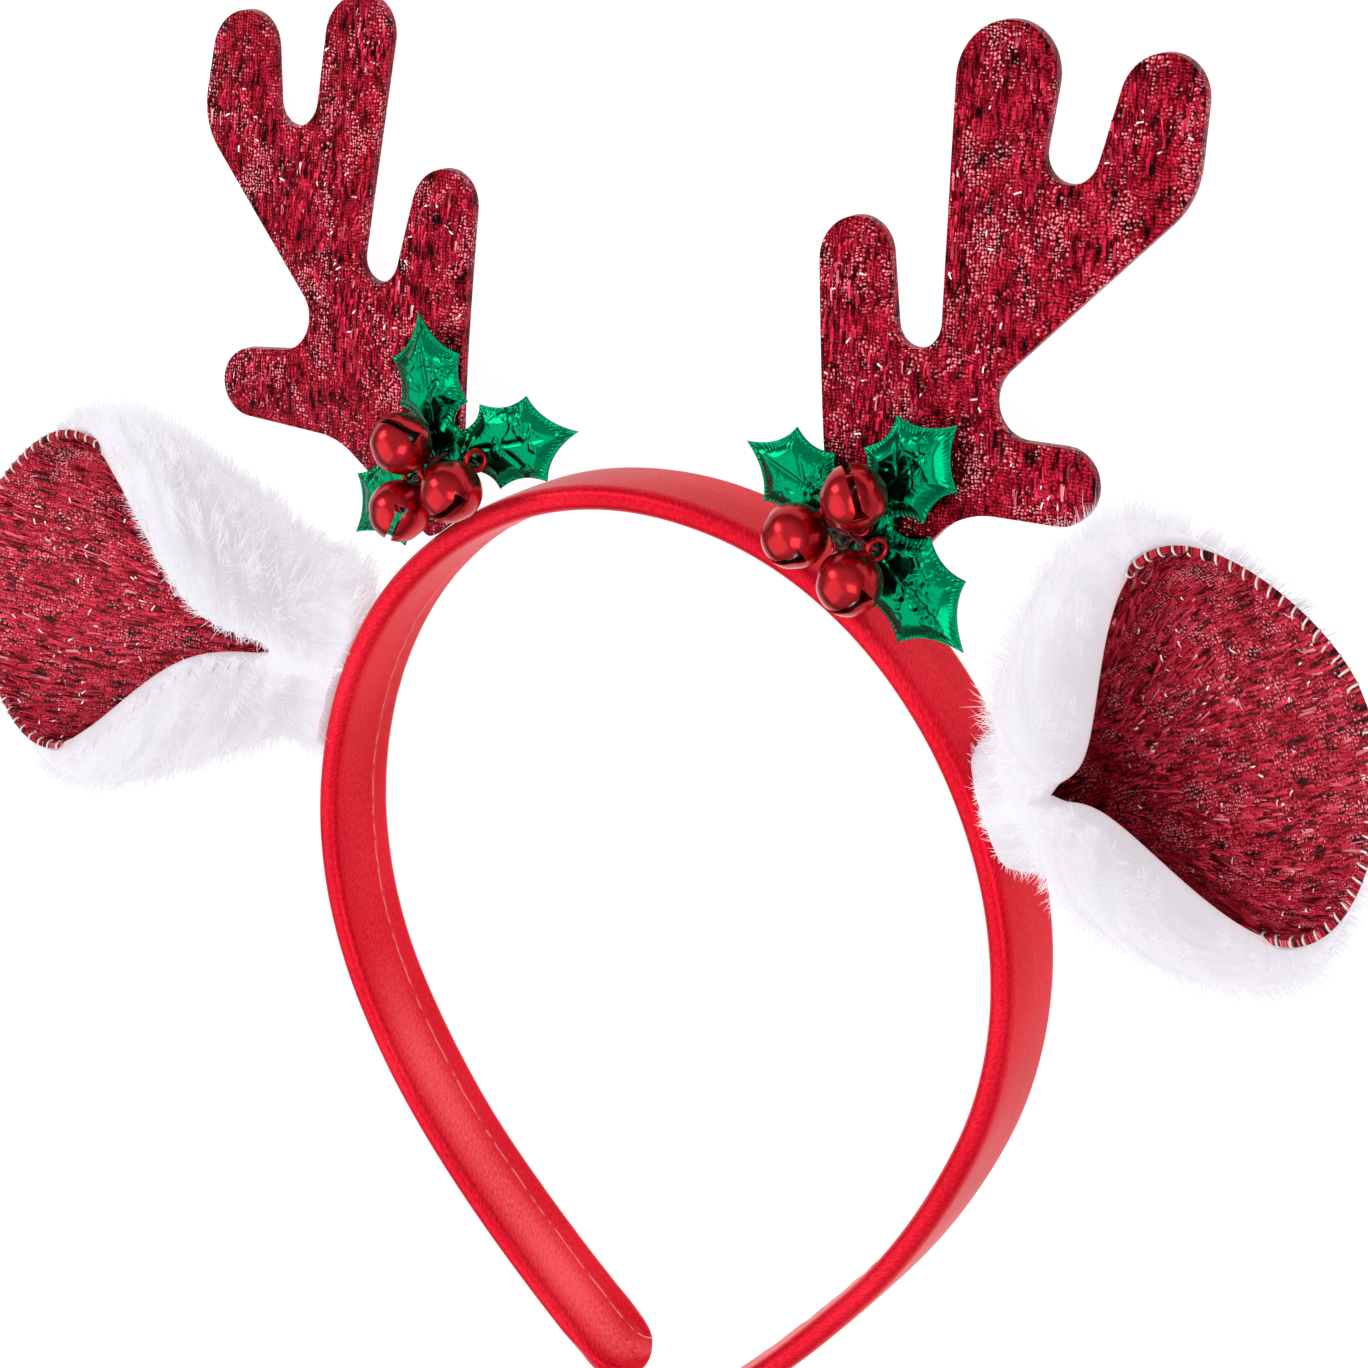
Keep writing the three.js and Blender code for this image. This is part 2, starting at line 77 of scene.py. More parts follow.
# One rim stitch: how far inwards as a share of its depth and in millimetres, slanted, and outwards
STITCH_PATH = [
    (1.0, 0.0, 1.0, -0.35), (0.8, 0.0, 0.8, -0.66), (0.0, 0.35, 0.2, -0.66),
    (0.0, -0.14, 0.0, -0.2), (0.0, -0.1, 0.0, 0.45), (0.0, 0.6, -0.3, 0.6),
]
LEAF = {"rim": 0.3, "puff": 1.15, "flange": 0.2, "shoulder": 2.4, "middle": 0.55, "hollow": 0.32, "z": 15.3}
BELL = {"radius": 4.8, "wall": 0.5, "z": 21.6, "loop": 1.5, "wire": 0.45, "waist": 0.035, "waist_at": 118}
SLOT = {"width": 1.0, "flare": 1.55, "drop": 0.6}
PELLET_RADIUS = 1.5
TIE = {"radius": 0.3, "per_bell": 3, "knot": 12, "reach": 2.5}

# Antler outline, a belt clockwise round circles: name, right and left circle (x, y, radius), tip or not
ANTLER_BELT = [
    ("brow_tine", (35.7, 38.1, 5.7), (36.8, 40.0, 5.7), True),
    ("brow_valley", (46.6, 30.2, 3.7), (48.3, 31.6, 3.7), False),
    ("inner_tine", (56.8, 63.4, 7.6), (55.0, 64.4, 6.3), True),
    ("crown_valley", (67.7, 54.1, 4.2), (66.3, 54.6, 4.2), False),
    ("outer_tine", (80.1, 61.4, 6.2), (77.6, 61.4, 6.2), True),
    ("shoulder", (75.0, 53.6, 11.2), (73.5, 53.8, 11.2), True),
    ("notch", (64.6, 20.8, 5.3), (66.9, 21.4, 5.3), False),
    ("spur", (70.1, 10.0, 5.4), (73.4, 10.3, 5.4), True),
    ("arch", (60.1, -7.3, 12.1), (60.3, -8.4, 12.1), False),
]

# Ear sections from where its edges meet to its tip: share of the length, half width, half depth, wrap angle
EAR_SECTIONS = np.array([
    (0.0, 6.0, 4.8, 170.0),
    (0.3, 15.5, 6.4, 155.0),
    (0.62, 25.6, 7.5, 107.0),
    (1.0, 27.5, 9.8, 50.0),
])

# Spines of one holly leaf: distance along it and half width, as shares of its length
LEAF_SPINES = [(0.1, 0.14), (0.36, 0.33), (0.7, 0.33), (1.0, 0.0)]

# The puffed disc at the middle of a sprig: radius, height
DISC = [(0.0, 1.0), (2.5, 0.95), (4.5, 0.7), (5.5, 0.3), (5.8, 0.0), (5.5, -0.3), (4.5, -0.7), (0.0, -0.8)]

# Each side, measured outwards from the middle. The antler's feet are angles round the band.
# Leaves: angle, length, breadth. Bells: x, y, mouth, slit, ball
SIDES = {
    "right": {
        "mirror": 1,
        "feet": (34.3, 38.2),
        "ear": {"yaw": 28, "pitch": 30, "roll": -4, "body": 8.8, "root_thin": 0.78, "sewn": 0.0},
        "sprig": (40.0, 2.5),
        "leaves": [(44, 22.0, 0.95), (153, 20.5, 0.95), (-46, 24.0, 0.95)],
        "bells": [
            (42.9, 7.5, (0.12, 0.85, 0.5), (0.62, -0.35, 0.7), (0, 0, -1)),
            (33.2, 0.7, (-0.74, -0.52, 0.42), (0.33, -0.56, 0.76), (0.14, -0.7, 0.43)),
            (42.1, -5.0, (-0.41, -0.73, 0.55), (0.71, -0.32, 0.63), (0.35, -0.62, 0.39)),
        ],
        "seed": 3,
    },
    "left": {
        "mirror": -1,
        "feet": (31.2, 36.4),
        "ear": {"yaw": 14, "pitch": 28, "roll": -7, "body": 7.4, "root_thin": 0.1, "sewn": 0.6},
        "sprig": (33.5, 3.5),
        "leaves": [(82, 22.0, 0.9), (166, 26.5, 0.75), (-39, 23.0, 0.9)],
        "bells": [
            (36.3, 6.4, (0.46, 0.76, 0.46), (-0.92, 0.26, 0.3), (0, 0, -1)),
            (27.3, -0.1, (0.38, -0.71, 0.59), (-0.83, 0.01, 0.56), (0, 0, -1)),
            (37.4, -4.3, (0.12, -0.83, 0.54), (-0.57, 0.03, 0.82), (0, 0, -1)),
        ],
        "seed": 8,
    },
}

# The camera: turn, tip and roll in degrees, field of view, distance, and the place that it looks at
CAMERA = {"angles": (33.605, 18.067, -1.642), "field": 24.377, "away": 481.443, "aim": (4.156, -29.924, 7.0)}

# Soft boxes: name, place, side in metres, power in watts
LAMPS = [
    ("overhead_box", (-0.55, -0.35, 0.95), 1.1, 4.0),
    ("key_box", (-0.75, 0.55, 0.8), 0.5, 3.6),
    ("front_box", (0.6, -0.1, 0.9), 0.6, 3.2),
]


# Materials

def colour(hex_value):
    """An sRGB hex value as the linear colour that shaders take."""
    channels = [((hex_value >> shift) & 255) / 255 for shift in (16, 8, 0)]
    return (*(c / 12.92 if c <= 0.04045 else ((c + 0.055) / 1.055) ** 2.4 for c in channels), 1.0)


def set_inputs(node, inputs):
    """Sets a node's inputs; an output is linked, and a node gives its first output that is in use."""
    for name, value in inputs.items():
        if isinstance(value, bpy.types.Node):
            value = next(output for output in value.outputs if output.enabled)
        if isinstance(value, bpy.types.NodeSocket):
            node.id_data.links.new(value, node.inputs[name])
        else:
            node.inputs[name].default_value = value


def add_node(tree, kind, inputs=None, stops=(), **settings):
    """One shader node with its settings, ramp stops and inputs."""
    node = tree.nodes.new("ShaderNode" + kind)
    for name, value in settings.items():
        setattr(node, name, value)
    for number, (place, hex_value) in enumerate(stops):
        elements = node.color_ramp.elements
        element = elements[number] if number < 2 else elements.new(place)
        element.position = place
        element.color = colour(hex_value)
    set_inputs(node, inputs or {})
    return node


def feed(shader, **inputs):
    """Sets the shader's inputs, whose names are given with _ for a space."""
    set_inputs(shader, {name.replace("_", " "): value for name, value in inputs.items()})


def new_material(name, **inputs):
    """A material, the function that adds a node to it, and its Principled shader."""
    material = bpy.data.materials.new(name)
    material.use_nodes = True
    shader = material.node_tree.nodes["Principled BSDF"]
    feed(shader, **inputs)
    return material, partial(add_node, material.node_tree), shader


def satin_material():
    """Woven polyester satin: long floats of dyed yarn give a silky red gloss over a fine slanted weave, with
    a painted sheen and a painted highlight along the seam.
    """
    material, add, shader = new_material(
        "woven_polyester_satin", Roughness=0.3, Metallic=0.3, Anisotropic=0.5, Specular_IOR_Level=0.15,
        Specular_Tint=colour(0xFF5860),
    )
    uv = add("UVMap", uv_map="cloth")
    # The real floats are about 0.15 mm wide; they are drawn at 0.3 mm, as coarse as they need to be to show
    float_size = {"Rotation": (0, 0, math.radians(38)), "Scale": (0.9 * MM, 0.3 * MM, 1)}
    slanted = add("Mapping", {"Vector": uv, **float_size}, vector_type="TEXTURE")
    floats = add("TexNoise", {"Vector": slanted, "Scale": 1.0, "Detail": 3.0})
    # Soft patches of about 30 mm, mixed with the floats, vary the red and break up the painted sheen below
    patch = add("TexNoise", {"Vector": uv, "Scale": 1 / (30 * MM), "Detail": 1.0})
    mixed = add("Mix", {"Factor": 0.4, "A": floats, "B": patch})
    tint = add("ValToRGB", {"Fac": mixed}, stops=[(0.32, 0xB40C1E), (0.5, 0xD8152B), (0.68, 0xEE2C3E)])
    around = add("SeparateXYZ", {"Vector": uv}).outputs["Y"]
    # Painted sheen: the inside, about 15 mm round from the middle of the outside, is painted paler as if a
    # highlight fell there
    aside = add("Math", {0: around, 1: 15 * MM}, operation="SUBTRACT")
    apart = add("Math", {0: aside}, operation="ABSOLUTE")
    sheen_reach = {"From Min": 5.2 * MM, "From Max": 0.5 * MM}
    tight = add("MapRange", {"Value": apart, **sheen_reach}, interpolation_type="SMOOTHSTEP")
    # The painted sheen is strong on the legs, below the turn of the hoop, and faint on its crown
    height = add("SeparateXYZ", {"Vector": add("TexCoord").outputs["Object"]}).outputs["Y"]
    leg_sheen_reach = {"From Min": -44 * MM, "From Max": -64 * MM, "To Min": 0.1, "To Max": 0.85}
    leg_sheen = add("MapRange", {"Value": height, **leg_sheen_reach})
    uneven = add("MapRange", {"Value": mixed, "From Min": 0.3, "From Max": 0.62, "To Max": leg_sheen})
    # Strength of the painted sheen: near the inside's middle, on the legs and in patches
    drawn = add("Math", {0: tight, 1: uneven}, operation="MULTIPLY")
    with_painted_sheen = add("Mix", {"Factor": drawn, 6: tint, 7: colour(0xFF6468)}, data_type="RGBA")
    # The seam's lap is a 0.4 mm step along the inside; its fold gets a painted highlight, a pale line in
    # lengths of some 2 mm
    pulls = add("TexNoise", {"Vector": uv, "Scale": 1 / (2 * MM), "Detail": 1.0})
    from_lap = add("Math", {0: around, 1: SEAM["around"] * MM}, operation="SUBTRACT")
    from_line = add("Math", {0: from_lap}, operation="ABSOLUTE")
    line = add("MapRange", {"Value": from_line, "From Min": 0.34 * MM, "From Max": 0.14 * MM})
    broken = add("MapRange", {"Value": pulls, "From Min": 0.4, "From Max": 0.52})
    fold = add("Math", {0: line, 1: broken}, operation="MULTIPLY")
    # The painted highlight pales the red along the fold
    with_painted_fold_line = add("Mix", {"Factor": fold, 6: with_painted_sheen, 7: colour(0xFF8C8E)}, data_type="RGBA")
    weave = add("Bump", {"Strength": 0.22, "Distance": 0.12 * MM, "Height": floats})
    lap = add("MapRange", {"Value": from_lap, "From Min": -0.2 * MM, "From Max": 0.2 * MM, "To Max": 0.5})
    seam = add("Bump", {"Strength": 0.6, "Distance": 0.4 * MM, "Height": lap, "Normal": weave}, invert=True)
    tangent = add("Tangent", direction_type="UV_MAP", uv_map="cloth")
    feed(shader, Base_Color=with_painted_fold_line, Normal=seam, Tangent=tangent)
    return material


def knit_material(name, metallic, tones, painted_glint_colour):
    """Knit of flat metal yarn: bead-like stitches in loose rows, with painted glints in patches and dark
    streaks.
    """
    material, add, shader = new_material(name, Metallic=metallic, Roughness=0.36, Specular_IOR_Level=0.25)
    uv = add("UVMap", uv_map="knit")
    middle = (0.5, 0.5, 0.5)
    # The rows wander by about half a stitch over 2.5 mm
    wander = add("TexNoise", {"Vector": uv, "Scale": 1 / (2.5 * MM), "Detail": 2.0})
    centred = add("VectorMath", {0: wander.outputs["Color"], 1: middle}, operation="SUBTRACT")
    loose = add("VectorMath", {0: centred, 1: (1.5 * MM, 1.5 * MM, 0), 2: uv}, operation="MULTIPLY_ADD")
    # Stitches of 0.56 by 0.5 mm in rows
    stitch = add("Mapping", {"Vector": loose, "Scale": (0.56 * MM, 0.5 * MM, 1)}, vector_type="TEXTURE")
    beads = add("TexVoronoi", {"Vector": stitch, "Scale": 1.0, "Randomness": 0.6}, voronoi_dimensions="2D")
    # Dark streaks 0.9 mm wide and 3.5 mm long, and patches of 5 by 8 mm where many stitches get a painted
    # glint
    streak_space = add("Mapping", {"Vector": uv, "Scale": (0.9 * MM, 3.5 * MM, 1)}, vector_type="TEXTURE")
    streaks = add("TexNoise", {"Vector": streak_space, "Scale": 1.0, "Detail": 3.0})
    patch_space = add("Mapping", {"Vector": uv, "Scale": (5 * MM, 8 * MM, 1)}, vector_type="TEXTURE")
    patches = add("TexNoise", {"Vector": patch_space, "Scale": 1.0, "Detail": 2.0})
    # Blots of about 4 mm lie darker or brighter as a whole
    blots = add("TexNoise", {"Vector": loose, "Scale": 1 / (4 * MM)})
    blotted = add("Mix", {"Factor": 0.35, "A": streaks, "B": blots})
    yarn = add("ValToRGB", {"Fac": blotted}, stops=list(zip((0.39, 0.455, 0.53, 0.62), tones)))
    gap = add("ValToRGB", {"Fac": beads}, stops=[(0.2, 0xFFFFFF), (0.7, 0x4A1A20)])
    # A colour mix takes its colours at sockets 6 and 7, because its number sockets have the same names
    stitched = add("Mix", {"Factor": 1.0, 6: yarn, 7: gap}, data_type="RGBA", blend_type="MULTIPLY")
    # Painted glints: the cores of stitches in bright patches are painted pale pink, in place of light
    # glinting off the yarn
    dice = add("SeparateColor", {"Color": beads.outputs["Color"]})
    chance = add("Math", {0: patches, 1: 4.0, 2: dice}, operation="MULTIPLY_ADD")
    shine = add("MapRange", {"Value": chance, "From Min": 2.6, "From Max": 3.1})
    core = add("MapRange", {"Value": beads, "From Min": 0.42, "From Max": 0.1})
    painted_glint = add("Math", {0: shine, 1: core}, operation="MULTIPLY")
    lit = add("Mix", {"Factor": painted_glint, 6: stitched, 7: colour(painted_glint_colour)}, data_type="RGBA")
    # Each stitch lies at its own tilt
    offset = add("VectorMath", {0: stitch, 1: beads.outputs["Position"]}, operation="SUBTRACT")
    lean = add("VectorMath", {0: beads.outputs["Color"], 1: middle}, operation="SUBTRACT")
    tilt = add("VectorMath", {0: offset, 1: lean}, operation="DOT_PRODUCT")
    height = add("Math", {0: tilt, 1: 1.6, 2: beads}, operation="MULTIPLY_ADD")
    bump = add("Bump", {"Strength": 0.8, "Distance": 0.22 * MM, "Height": height}, invert=True)
    feed(shader, Base_Color=lit, Normal=bump)
    return material


def tinsel_material(name, metallic, tones):
    """Slit metallised film: flat strands, each its own shade of red, that flash where they lie level;
    near-white slivers are painted glints.
    """
    material, add, shader = new_material(name, Metallic=metallic, Roughness=0.32, Specular_IOR_Level=0.25)
    shade = add("Attribute", attribute_name="shade").outputs["Fac"]
    tint = add("ValToRGB", {"Fac": shade}, stops=list(zip((0.0, 0.35, 0.62, 0.86, 0.97), tones)))
    feed(shader, Base_Color=tint)
    return material


# White hairs pass light on among themselves, which is given to them as a faint glow of their own
FUR_GLOW = {"Emission_Color": colour(0xEEEAF0), "Emission_Strength": 0.42}


def pile_material():
    """Brushed acrylic pile: loose white hairs that scatter the light, a little greyer at their roots."""
    material, add, shader = new_material(
        "brushed_acrylic_pile", Roughness=0.8, Specular_IOR_Level=0.2, **FUR_GLOW
    )
    along = add("SeparateXYZ", {"Vector": add("UVMap", uv_map="pile")}).outputs["Y"]
    tint = add("ValToRGB", {"Fac": along}, stops=[(0.0, 0xB2AFB5), (0.5, 0xBAB8BC), (1.0, 0xC4C3C6)])
    feed(shader, Base_Color=tint)
    return material


def fur_material():
    """Acrylic fur fabric: dense white pile read as one soft body, faintly combed, with a lavender shade."""
    material, add, shader = new_material(
        "combed_acrylic_fur", Roughness=0.95, Specular_IOR_Level=0.1, Subsurface_Weight=0.9,
        Subsurface_Radius=(1.0, 0.95, 1.0), Subsurface_Scale=5 * MM, **FUR_GLOW,
    )
    uv = add("UVMap", uv_map="cloth")
    # Combed streaks 0.5 mm wide and 5 mm long, and soft clouding of about 9 mm
    combed = add("Mapping", {"Vector": uv, "Scale": (0.5 * MM, 5 * MM, 1)}, vector_type="TEXTURE")
    streaks = add("TexNoise", {"Vector": combed, "Scale": 1.0, "Detail": 3.0})
    clouds = add("TexNoise", {"Vector": uv, "Scale": 1 / (9 * MM), "Detail": 2.0})
    mixed = add("Mix", {"Factor": 0.5, "A": streaks, "B": clouds})
    tint = add("ValToRGB", {"Fac": mixed}, stops=[(0.3, 0xA6A3A9), (0.5, 0xB0ADB3), (0.7, 0xBAB8BD)])
    bump = add("Bump", {"Strength": 0.25, "Distance": 0.3 * MM, "Height": streaks})
    feed(shader, Base_Color=tint, Normal=bump)
    return material


def foil_material():
    """Metallised plastic film, heat sealed over padding: an even green mirror broken by local creases."""
    material, add, shader = new_material("heat_sealed_green_foil", Metallic=1.0, Roughness=0.18)
    place = add("TexCoord").outputs["Object"]
    # Creases about 1.8 mm apart and crumple of 0.5 mm, only in patches of some 5 mm
    crease_size = {"Scale": 1 / (1.8 * MM), "Randomness": 1.0}
    crease = add("TexVoronoi", {"Vector": place, **crease_size}, feature="DISTANCE_TO_EDGE")
    crumple = add("TexNoise", {"Vector": place, "Scale": 1 / (0.5 * MM), "Detail": 3.0, "Roughness": 0.6})
    patch = add("TexNoise", {"Vector": place, "Scale": 1 / (5 * MM), "Detail": 1.0})
    amount = add("MapRange", {"Value": patch, "From Min": 0.5, "From Max": 0.66})
    sharp = add("MapRange", {"Value": crease, "From Min": 0.0, "From Max": 0.2})
    folded = add("Math", {0: crumple, 1: 0.6, 2: sharp}, operation="MULTIPLY_ADD")
    height = add("Math", {0: folded, 1: amount}, operation="MULTIPLY")
    bump = add("Bump", {"Strength": 0.6, "Distance": 0.25 * MM, "Height": height})
    tint = add("ValToRGB", {"Fac": crumple}, stops=[(0.25, 0x00764C), (0.6, 0x008658), (0.85, 0x069464)])
    feed(shader, Base_Color=tint, Normal=bump)
    return material


def lacquer_material():
    """Pressed steel in red metallic lacquer: a satin gloss, soft pink highlights and faint press marks."""
    material, add, shader = new_material(
        "red_lacquered_pressed_steel", Metallic=0.95, Coat_Weight=0.3, Coat_Roughness=0.14
    )
    place = add("TexCoord").outputs["Object"]
    # Clouding of about 3 mm from uneven lacquer, and orange peel of 0.3 mm
    cloud = add("TexNoise", {"Vector": place, "Scale": 1 / (3 * MM), "Detail": 3.0})
    peel = add("TexNoise", {"Vector": place, "Scale": 1 / (0.3 * MM), "Detail": 1.0})
    tint = add("ValToRGB", {"Fac": cloud}, stops=[(0.3, 0xA20814), (0.55, 0xB80C1B), (0.75, 0xC81426)])
    gloss_range = {"From Min": 0.3, "From Max": 0.7, "To Min": 0.22, "To Max": 0.32}
    gloss = add("MapRange", {"Value": cloud, **gloss_range})
    bump = add("Bump", {"Strength": 0.06, "Distance": 0.1 * MM, "Height": peel})
    feed(shader, Base_Color=tint, Roughness=gloss, Normal=bump)
    return material


def steel_material():
    """Tumbled steel ball: bright grey metal with a fine scuffed grain."""
    material, add, shader = new_material("tumbled_steel", Metallic=1.0, Base_Color=colour(0xB8B8BA))
    # Scuffs of about 0.25 mm
    scuff_size = {"Scale": 1 / (0.25 * MM), "Detail": 3.0}
    scuff = add("TexNoise", {"Vector": add("TexCoord").outputs["Object"], **scuff_size})
    feed(shader, Roughness=add("MapRange", {"Value": scuff, "To Min": 0.2, "To Max": 0.5}))
    return material


def thread_material(name, dark, light):
    """Twisted polyester thread: two plies wind round it as fine slanted shades."""
    material, add, shader = new_material(name, Roughness=0.6, Sheen_Weight=0.2)
    uv = add("UVMap", uv_map="thread")
    # One turn of the ply in about 0.8 mm; at a scale of 1 a wave repeats every 0.314
    turns = {"Scale": 0.314 / (0.8 * MM), "Distortion": 0.6}
    ply = add("TexWave", {"Vector": uv, **turns}, bands_direction="DIAGONAL").outputs["Fac"]
    tint = add("ValToRGB", {"Fac": ply}, stops=[(0.2, dark), (0.7, light)])
    bump = add("Bump", {"Strength": 0.3, "Distance": 0.1 * MM, "Height": ply})
    feed(shader, Base_Color=tint, Normal=bump)
    return material


def floor_material():
    """White acrylic of a light table: a faint grain of about 17 mm, lit from below to keep shadows soft."""
    material, add, shader = new_material(
        "lit_white_acrylic", Roughness=0.95, Emission_Color=colour(0xFFFFFF), Emission_Strength=0.95
    )
    place = add("TexCoord").outputs["Object"]
    fibre = add("TexNoise", {"Vector": place, "Scale": 1 / (17 * MM), "Detail": 4.0})
    feed(shader, Base_Color=add("ValToRGB", {"Fac": fibre}, stops=[(0.3, 0x707072), (0.7, 0x747475)]))
    return material


SATIN = satin_material()
KNIT = knit_material("metallic_yarn_knit", 0.92, (0x2C0107, 0x960C22, 0xC01834, 0xDA2C48), 0xFFA0AA)
TINSEL = tinsel_material("slit_metallised_film", 1.0, (0x42040C, 0x840C20, 0xA81630, 0xC62A44, 0xFFDADD))
# The ears' lining and its tinsel are brighter, less metallic copies of the antlers' knit and tinsel: painted
# light that lifts the shade inside the ear's cup
BRIGHTENED_LINING_TONES = (0x38020A, 0xB81028, 0xE02440, 0xF24460)
BRIGHTENED_LINING_KNIT = knit_material("brightened_metallic_yarn_knit", 0.4, BRIGHTENED_LINING_TONES, 0xFF9CA8)
BRIGHTENED_LINING_TINSEL = tinsel_material("brightened_slit_film", 0.4, (0x42040C, 0xA01028, 0xD02440, 0xE63C56, 0xFFE4E6))
PILE_HAIR = pile_material()
FUR = fur_material()
FOIL = foil_material()
LACQUER = lacquer_material()
STEEL = steel_material()
CREAM_THREAD = thread_material("cream_polyester_thread", 0xD4C8BC, 0xEEE5DC)
RED_THREAD = thread_material("dark_red_polyester_thread", 0x3E040B, 0x74101D)


# Meshes

def field_of(items, field, width, kind=float):
    """A field of a mesh's items as an array with a row for each item."""
    values = np.zeros(len(items) * width, kind)
    items.foreach_get(field, values)
    return values.reshape(-1, width)


def new_piece(name, points, faces, material, mirror=1, uv=None, uv_name="cloth", shade=None):
    """A piece from points in millimetres about the crown; a mirrored one has its faces turned back."""
    placed = np.array(points, float)
    placed[:, 0] *= mirror
    placed = (placed + CENTRE) * MM
    mesh = bpy.data.meshes.new(name)
    mesh.from_pydata(placed.tolist(), [], [tuple(face)[::mirror] for face in faces])
    piece = bpy.data.objects.new(name, mesh)
    bpy.context.scene.collection.objects.link(piece)
    mesh.materials.append(material)
    mesh.polygons.foreach_set("use_smooth", np.ones(len(mesh.polygons), bool))
    if uv is not None:
        corners = field_of(mesh.loops, "vertex_index", 1, int)[:, 0]
        layer = mesh.uv_layers.new(name=uv_name)
        layer.data.foreach_set("uv", np.asarray(uv, np.float32)[corners].ravel())
    if shade is not None:
        attribute = mesh.attributes.new("shade", "FLOAT", "POINT")
        attribute.data.foreach_set("value", np.asarray(shade, np.float32))
    return piece


def face_outwards(piece):
    """Merges doubles and turns a closed piece's faces outwards."""
    grid = bmesh.new()
    grid.from_mesh(piece.data)
    bmesh.ops.remove_doubles(grid, verts=grid.verts, dist=1e-6)
    bmesh.ops.recalc_face_normals(grid, faces=grid.faces)
    grid.to_mesh(piece.data)
    grid.free()


def pick(piece):
    """Makes a piece the only selected one, and the active one."""
    bpy.ops.object.select_all(action="DESELECT")
    piece.select_set(True)
    bpy.context.view_layer.objects.active = piece


def smooth_below(piece, degrees):
    """Shades a piece smooth, apart from its edges that are sharper than an angle."""
    pick(piece)
    bpy.ops.object.shade_smooth_by_angle(angle=math.radians(degrees))


def apply_modifier(piece, kind, **settings):
    """Adds a modifier with its settings and applies it."""
    modifier = piece.modifiers.new(kind.lower(), kind)
    for name, value in settings.items():
        setattr(modifier, name, value)
    pick(piece)
    bpy.ops.object.modifier_apply(modifier=modifier.name)


def round_edges(piece, width, degrees):
    """Rounds the edges of a piece that are sharper than an angle."""
    sharp = math.radians(degrees)
    apply_modifier(piece, "BEVEL", width=width * MM, segments=2, limit_method="ANGLE", angle_limit=sharp)


def dress(piece, slot, *nodes):
    """Sets the piece on the body, with the solids that it stands for; its finish slot is not used."""
    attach(piece, "root")
    if nodes:
        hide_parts(*nodes)
    return piece


def grid_faces(rows, columns, start=0, closed=False):
    """Quads of a grid of points kept row by row; a closed one joins its last column to its first."""
    i, j = np.meshgrid(np.arange(rows - 1), np.arange(columns if closed else columns - 1), indexing="ij")
    following = (j + 1) % columns
    here, below = i * columns, (i + 1) * columns
    corners = (here + j, here + following, below + following, below + j)
    return (np.stack(corners, -1).reshape(-1, 4) + start).tolist()


def sheet_faces(rows, columns, start=0):
    """Faces of a closed sheet: a grid of points, a second one below it turned back, and the rim between."""
    size = rows * columns
    upper = grid_faces(rows, columns, start)
    lower = [[k + size for k in quad[::-1]] for quad in upper]
    ring = [*range(columns), *range(2 * columns - 1, size, columns)]
    ring += [*range(size - 2, size - columns - 1, -1), *range(size - 2 * columns, 0, -columns)]
    ring = [start + k for k in ring]
    rim = [(there, here, here + size, there + size) for here, there in zip(ring, ring[1:] + ring[:1])]
    return upper + lower + rim


def unit(vectors):
    """Vectors of length 1 in the same directions."""
    return vectors / np.maximum(np.linalg.norm(vectors, axis=-1, keepdims=True), 1e-9)


def smoothstep(low, high, value):
    """A soft rise from 0 at one value to 1 at another."""
    share = np.clip((value - low) / (high - low), 0, 1)
    return share * share * (3 - 2 * share)


def rough(points):
    """Smooth noise between -1 and 1 at each point."""
    return np.array([noise.noise(Vector(point)) for point in np.asarray(points, float)])


def run_length(line):
    """How far along a line each of its points lies."""
    return np.concatenate([[0], np.cumsum(np.linalg.norm(np.diff(line, axis=0), axis=1))])


# Band

def half_hoop(step):
    """Places, headings and lengths along the hoop's middle line from the crown to where a tip begins."""
    rows = [(0.0, 0.0, 0.0, 0.0)]
    for radius, sweep in BAND_ARCS:
        count = max(2, round(radius * math.radians(sweep) / step))
        turn = math.radians(sweep) / count
        chord = 2 * radius * math.sin(turn / 2)
        for _ in range(count):
            x, y, heading, length = rows[-1]
            along = heading - turn / 2
            place = (x + chord * math.cos(along), y + chord * math.sin(along))
            rows.append((*place, heading - turn, length + radius * turn))
    return np.array(rows)


def rounded_section(half_thick, half_wide, corner, count):
    """Points round a rounded rectangle, equally far apart from the middle of its outer face, and normals."""
    thick = half_thick - corner
    wide = half_wide - corner
    arc = corner * math.pi / 2
    # Kind, length, start of a line or centre of an arc, and a line's way or an arc's first angle
    sides = [
        ("line", wide, (half_thick, 0), (0, 1)),
        ("arc", arc, (thick, wide), 0),
        ("line", 2 * thick, (thick, half_wide), (-1, 0)),
        ("arc", arc, (-thick, wide), 90),
        ("line", 2 * wide, (-half_thick, wide), (0, -1)),
        ("arc", arc, (-thick, -wide), 180),
        ("line", 2 * thick, (-thick, -half_wide), (1, 0)),
        ("arc", arc, (thick, -wide), 270),
        ("line", wide, (half_thick, -wide), (0, 1)),
    ]
    total = sum(side[1] for side in sides)
    points = []
    normals = []
    for k in range(count):
        left = total * k / count
        for kind, length, start, way in sides:
            if left <= length:
                break
            left -= length
        if kind == "line":
            points.append((start[0] + way[0] * left, start[1] + way[1] * left))
            normals.append((way[1], -way[0]))
        else:
            angle = math.radians(way) + left / max(corner, 1e-6)
            normal = (math.cos(angle), math.sin(angle))
            points.append((start[0] + corner * normal[0], start[1] + corner * normal[1]))
            normals.append(normal)
    return np.array(points), np.array(normals), total


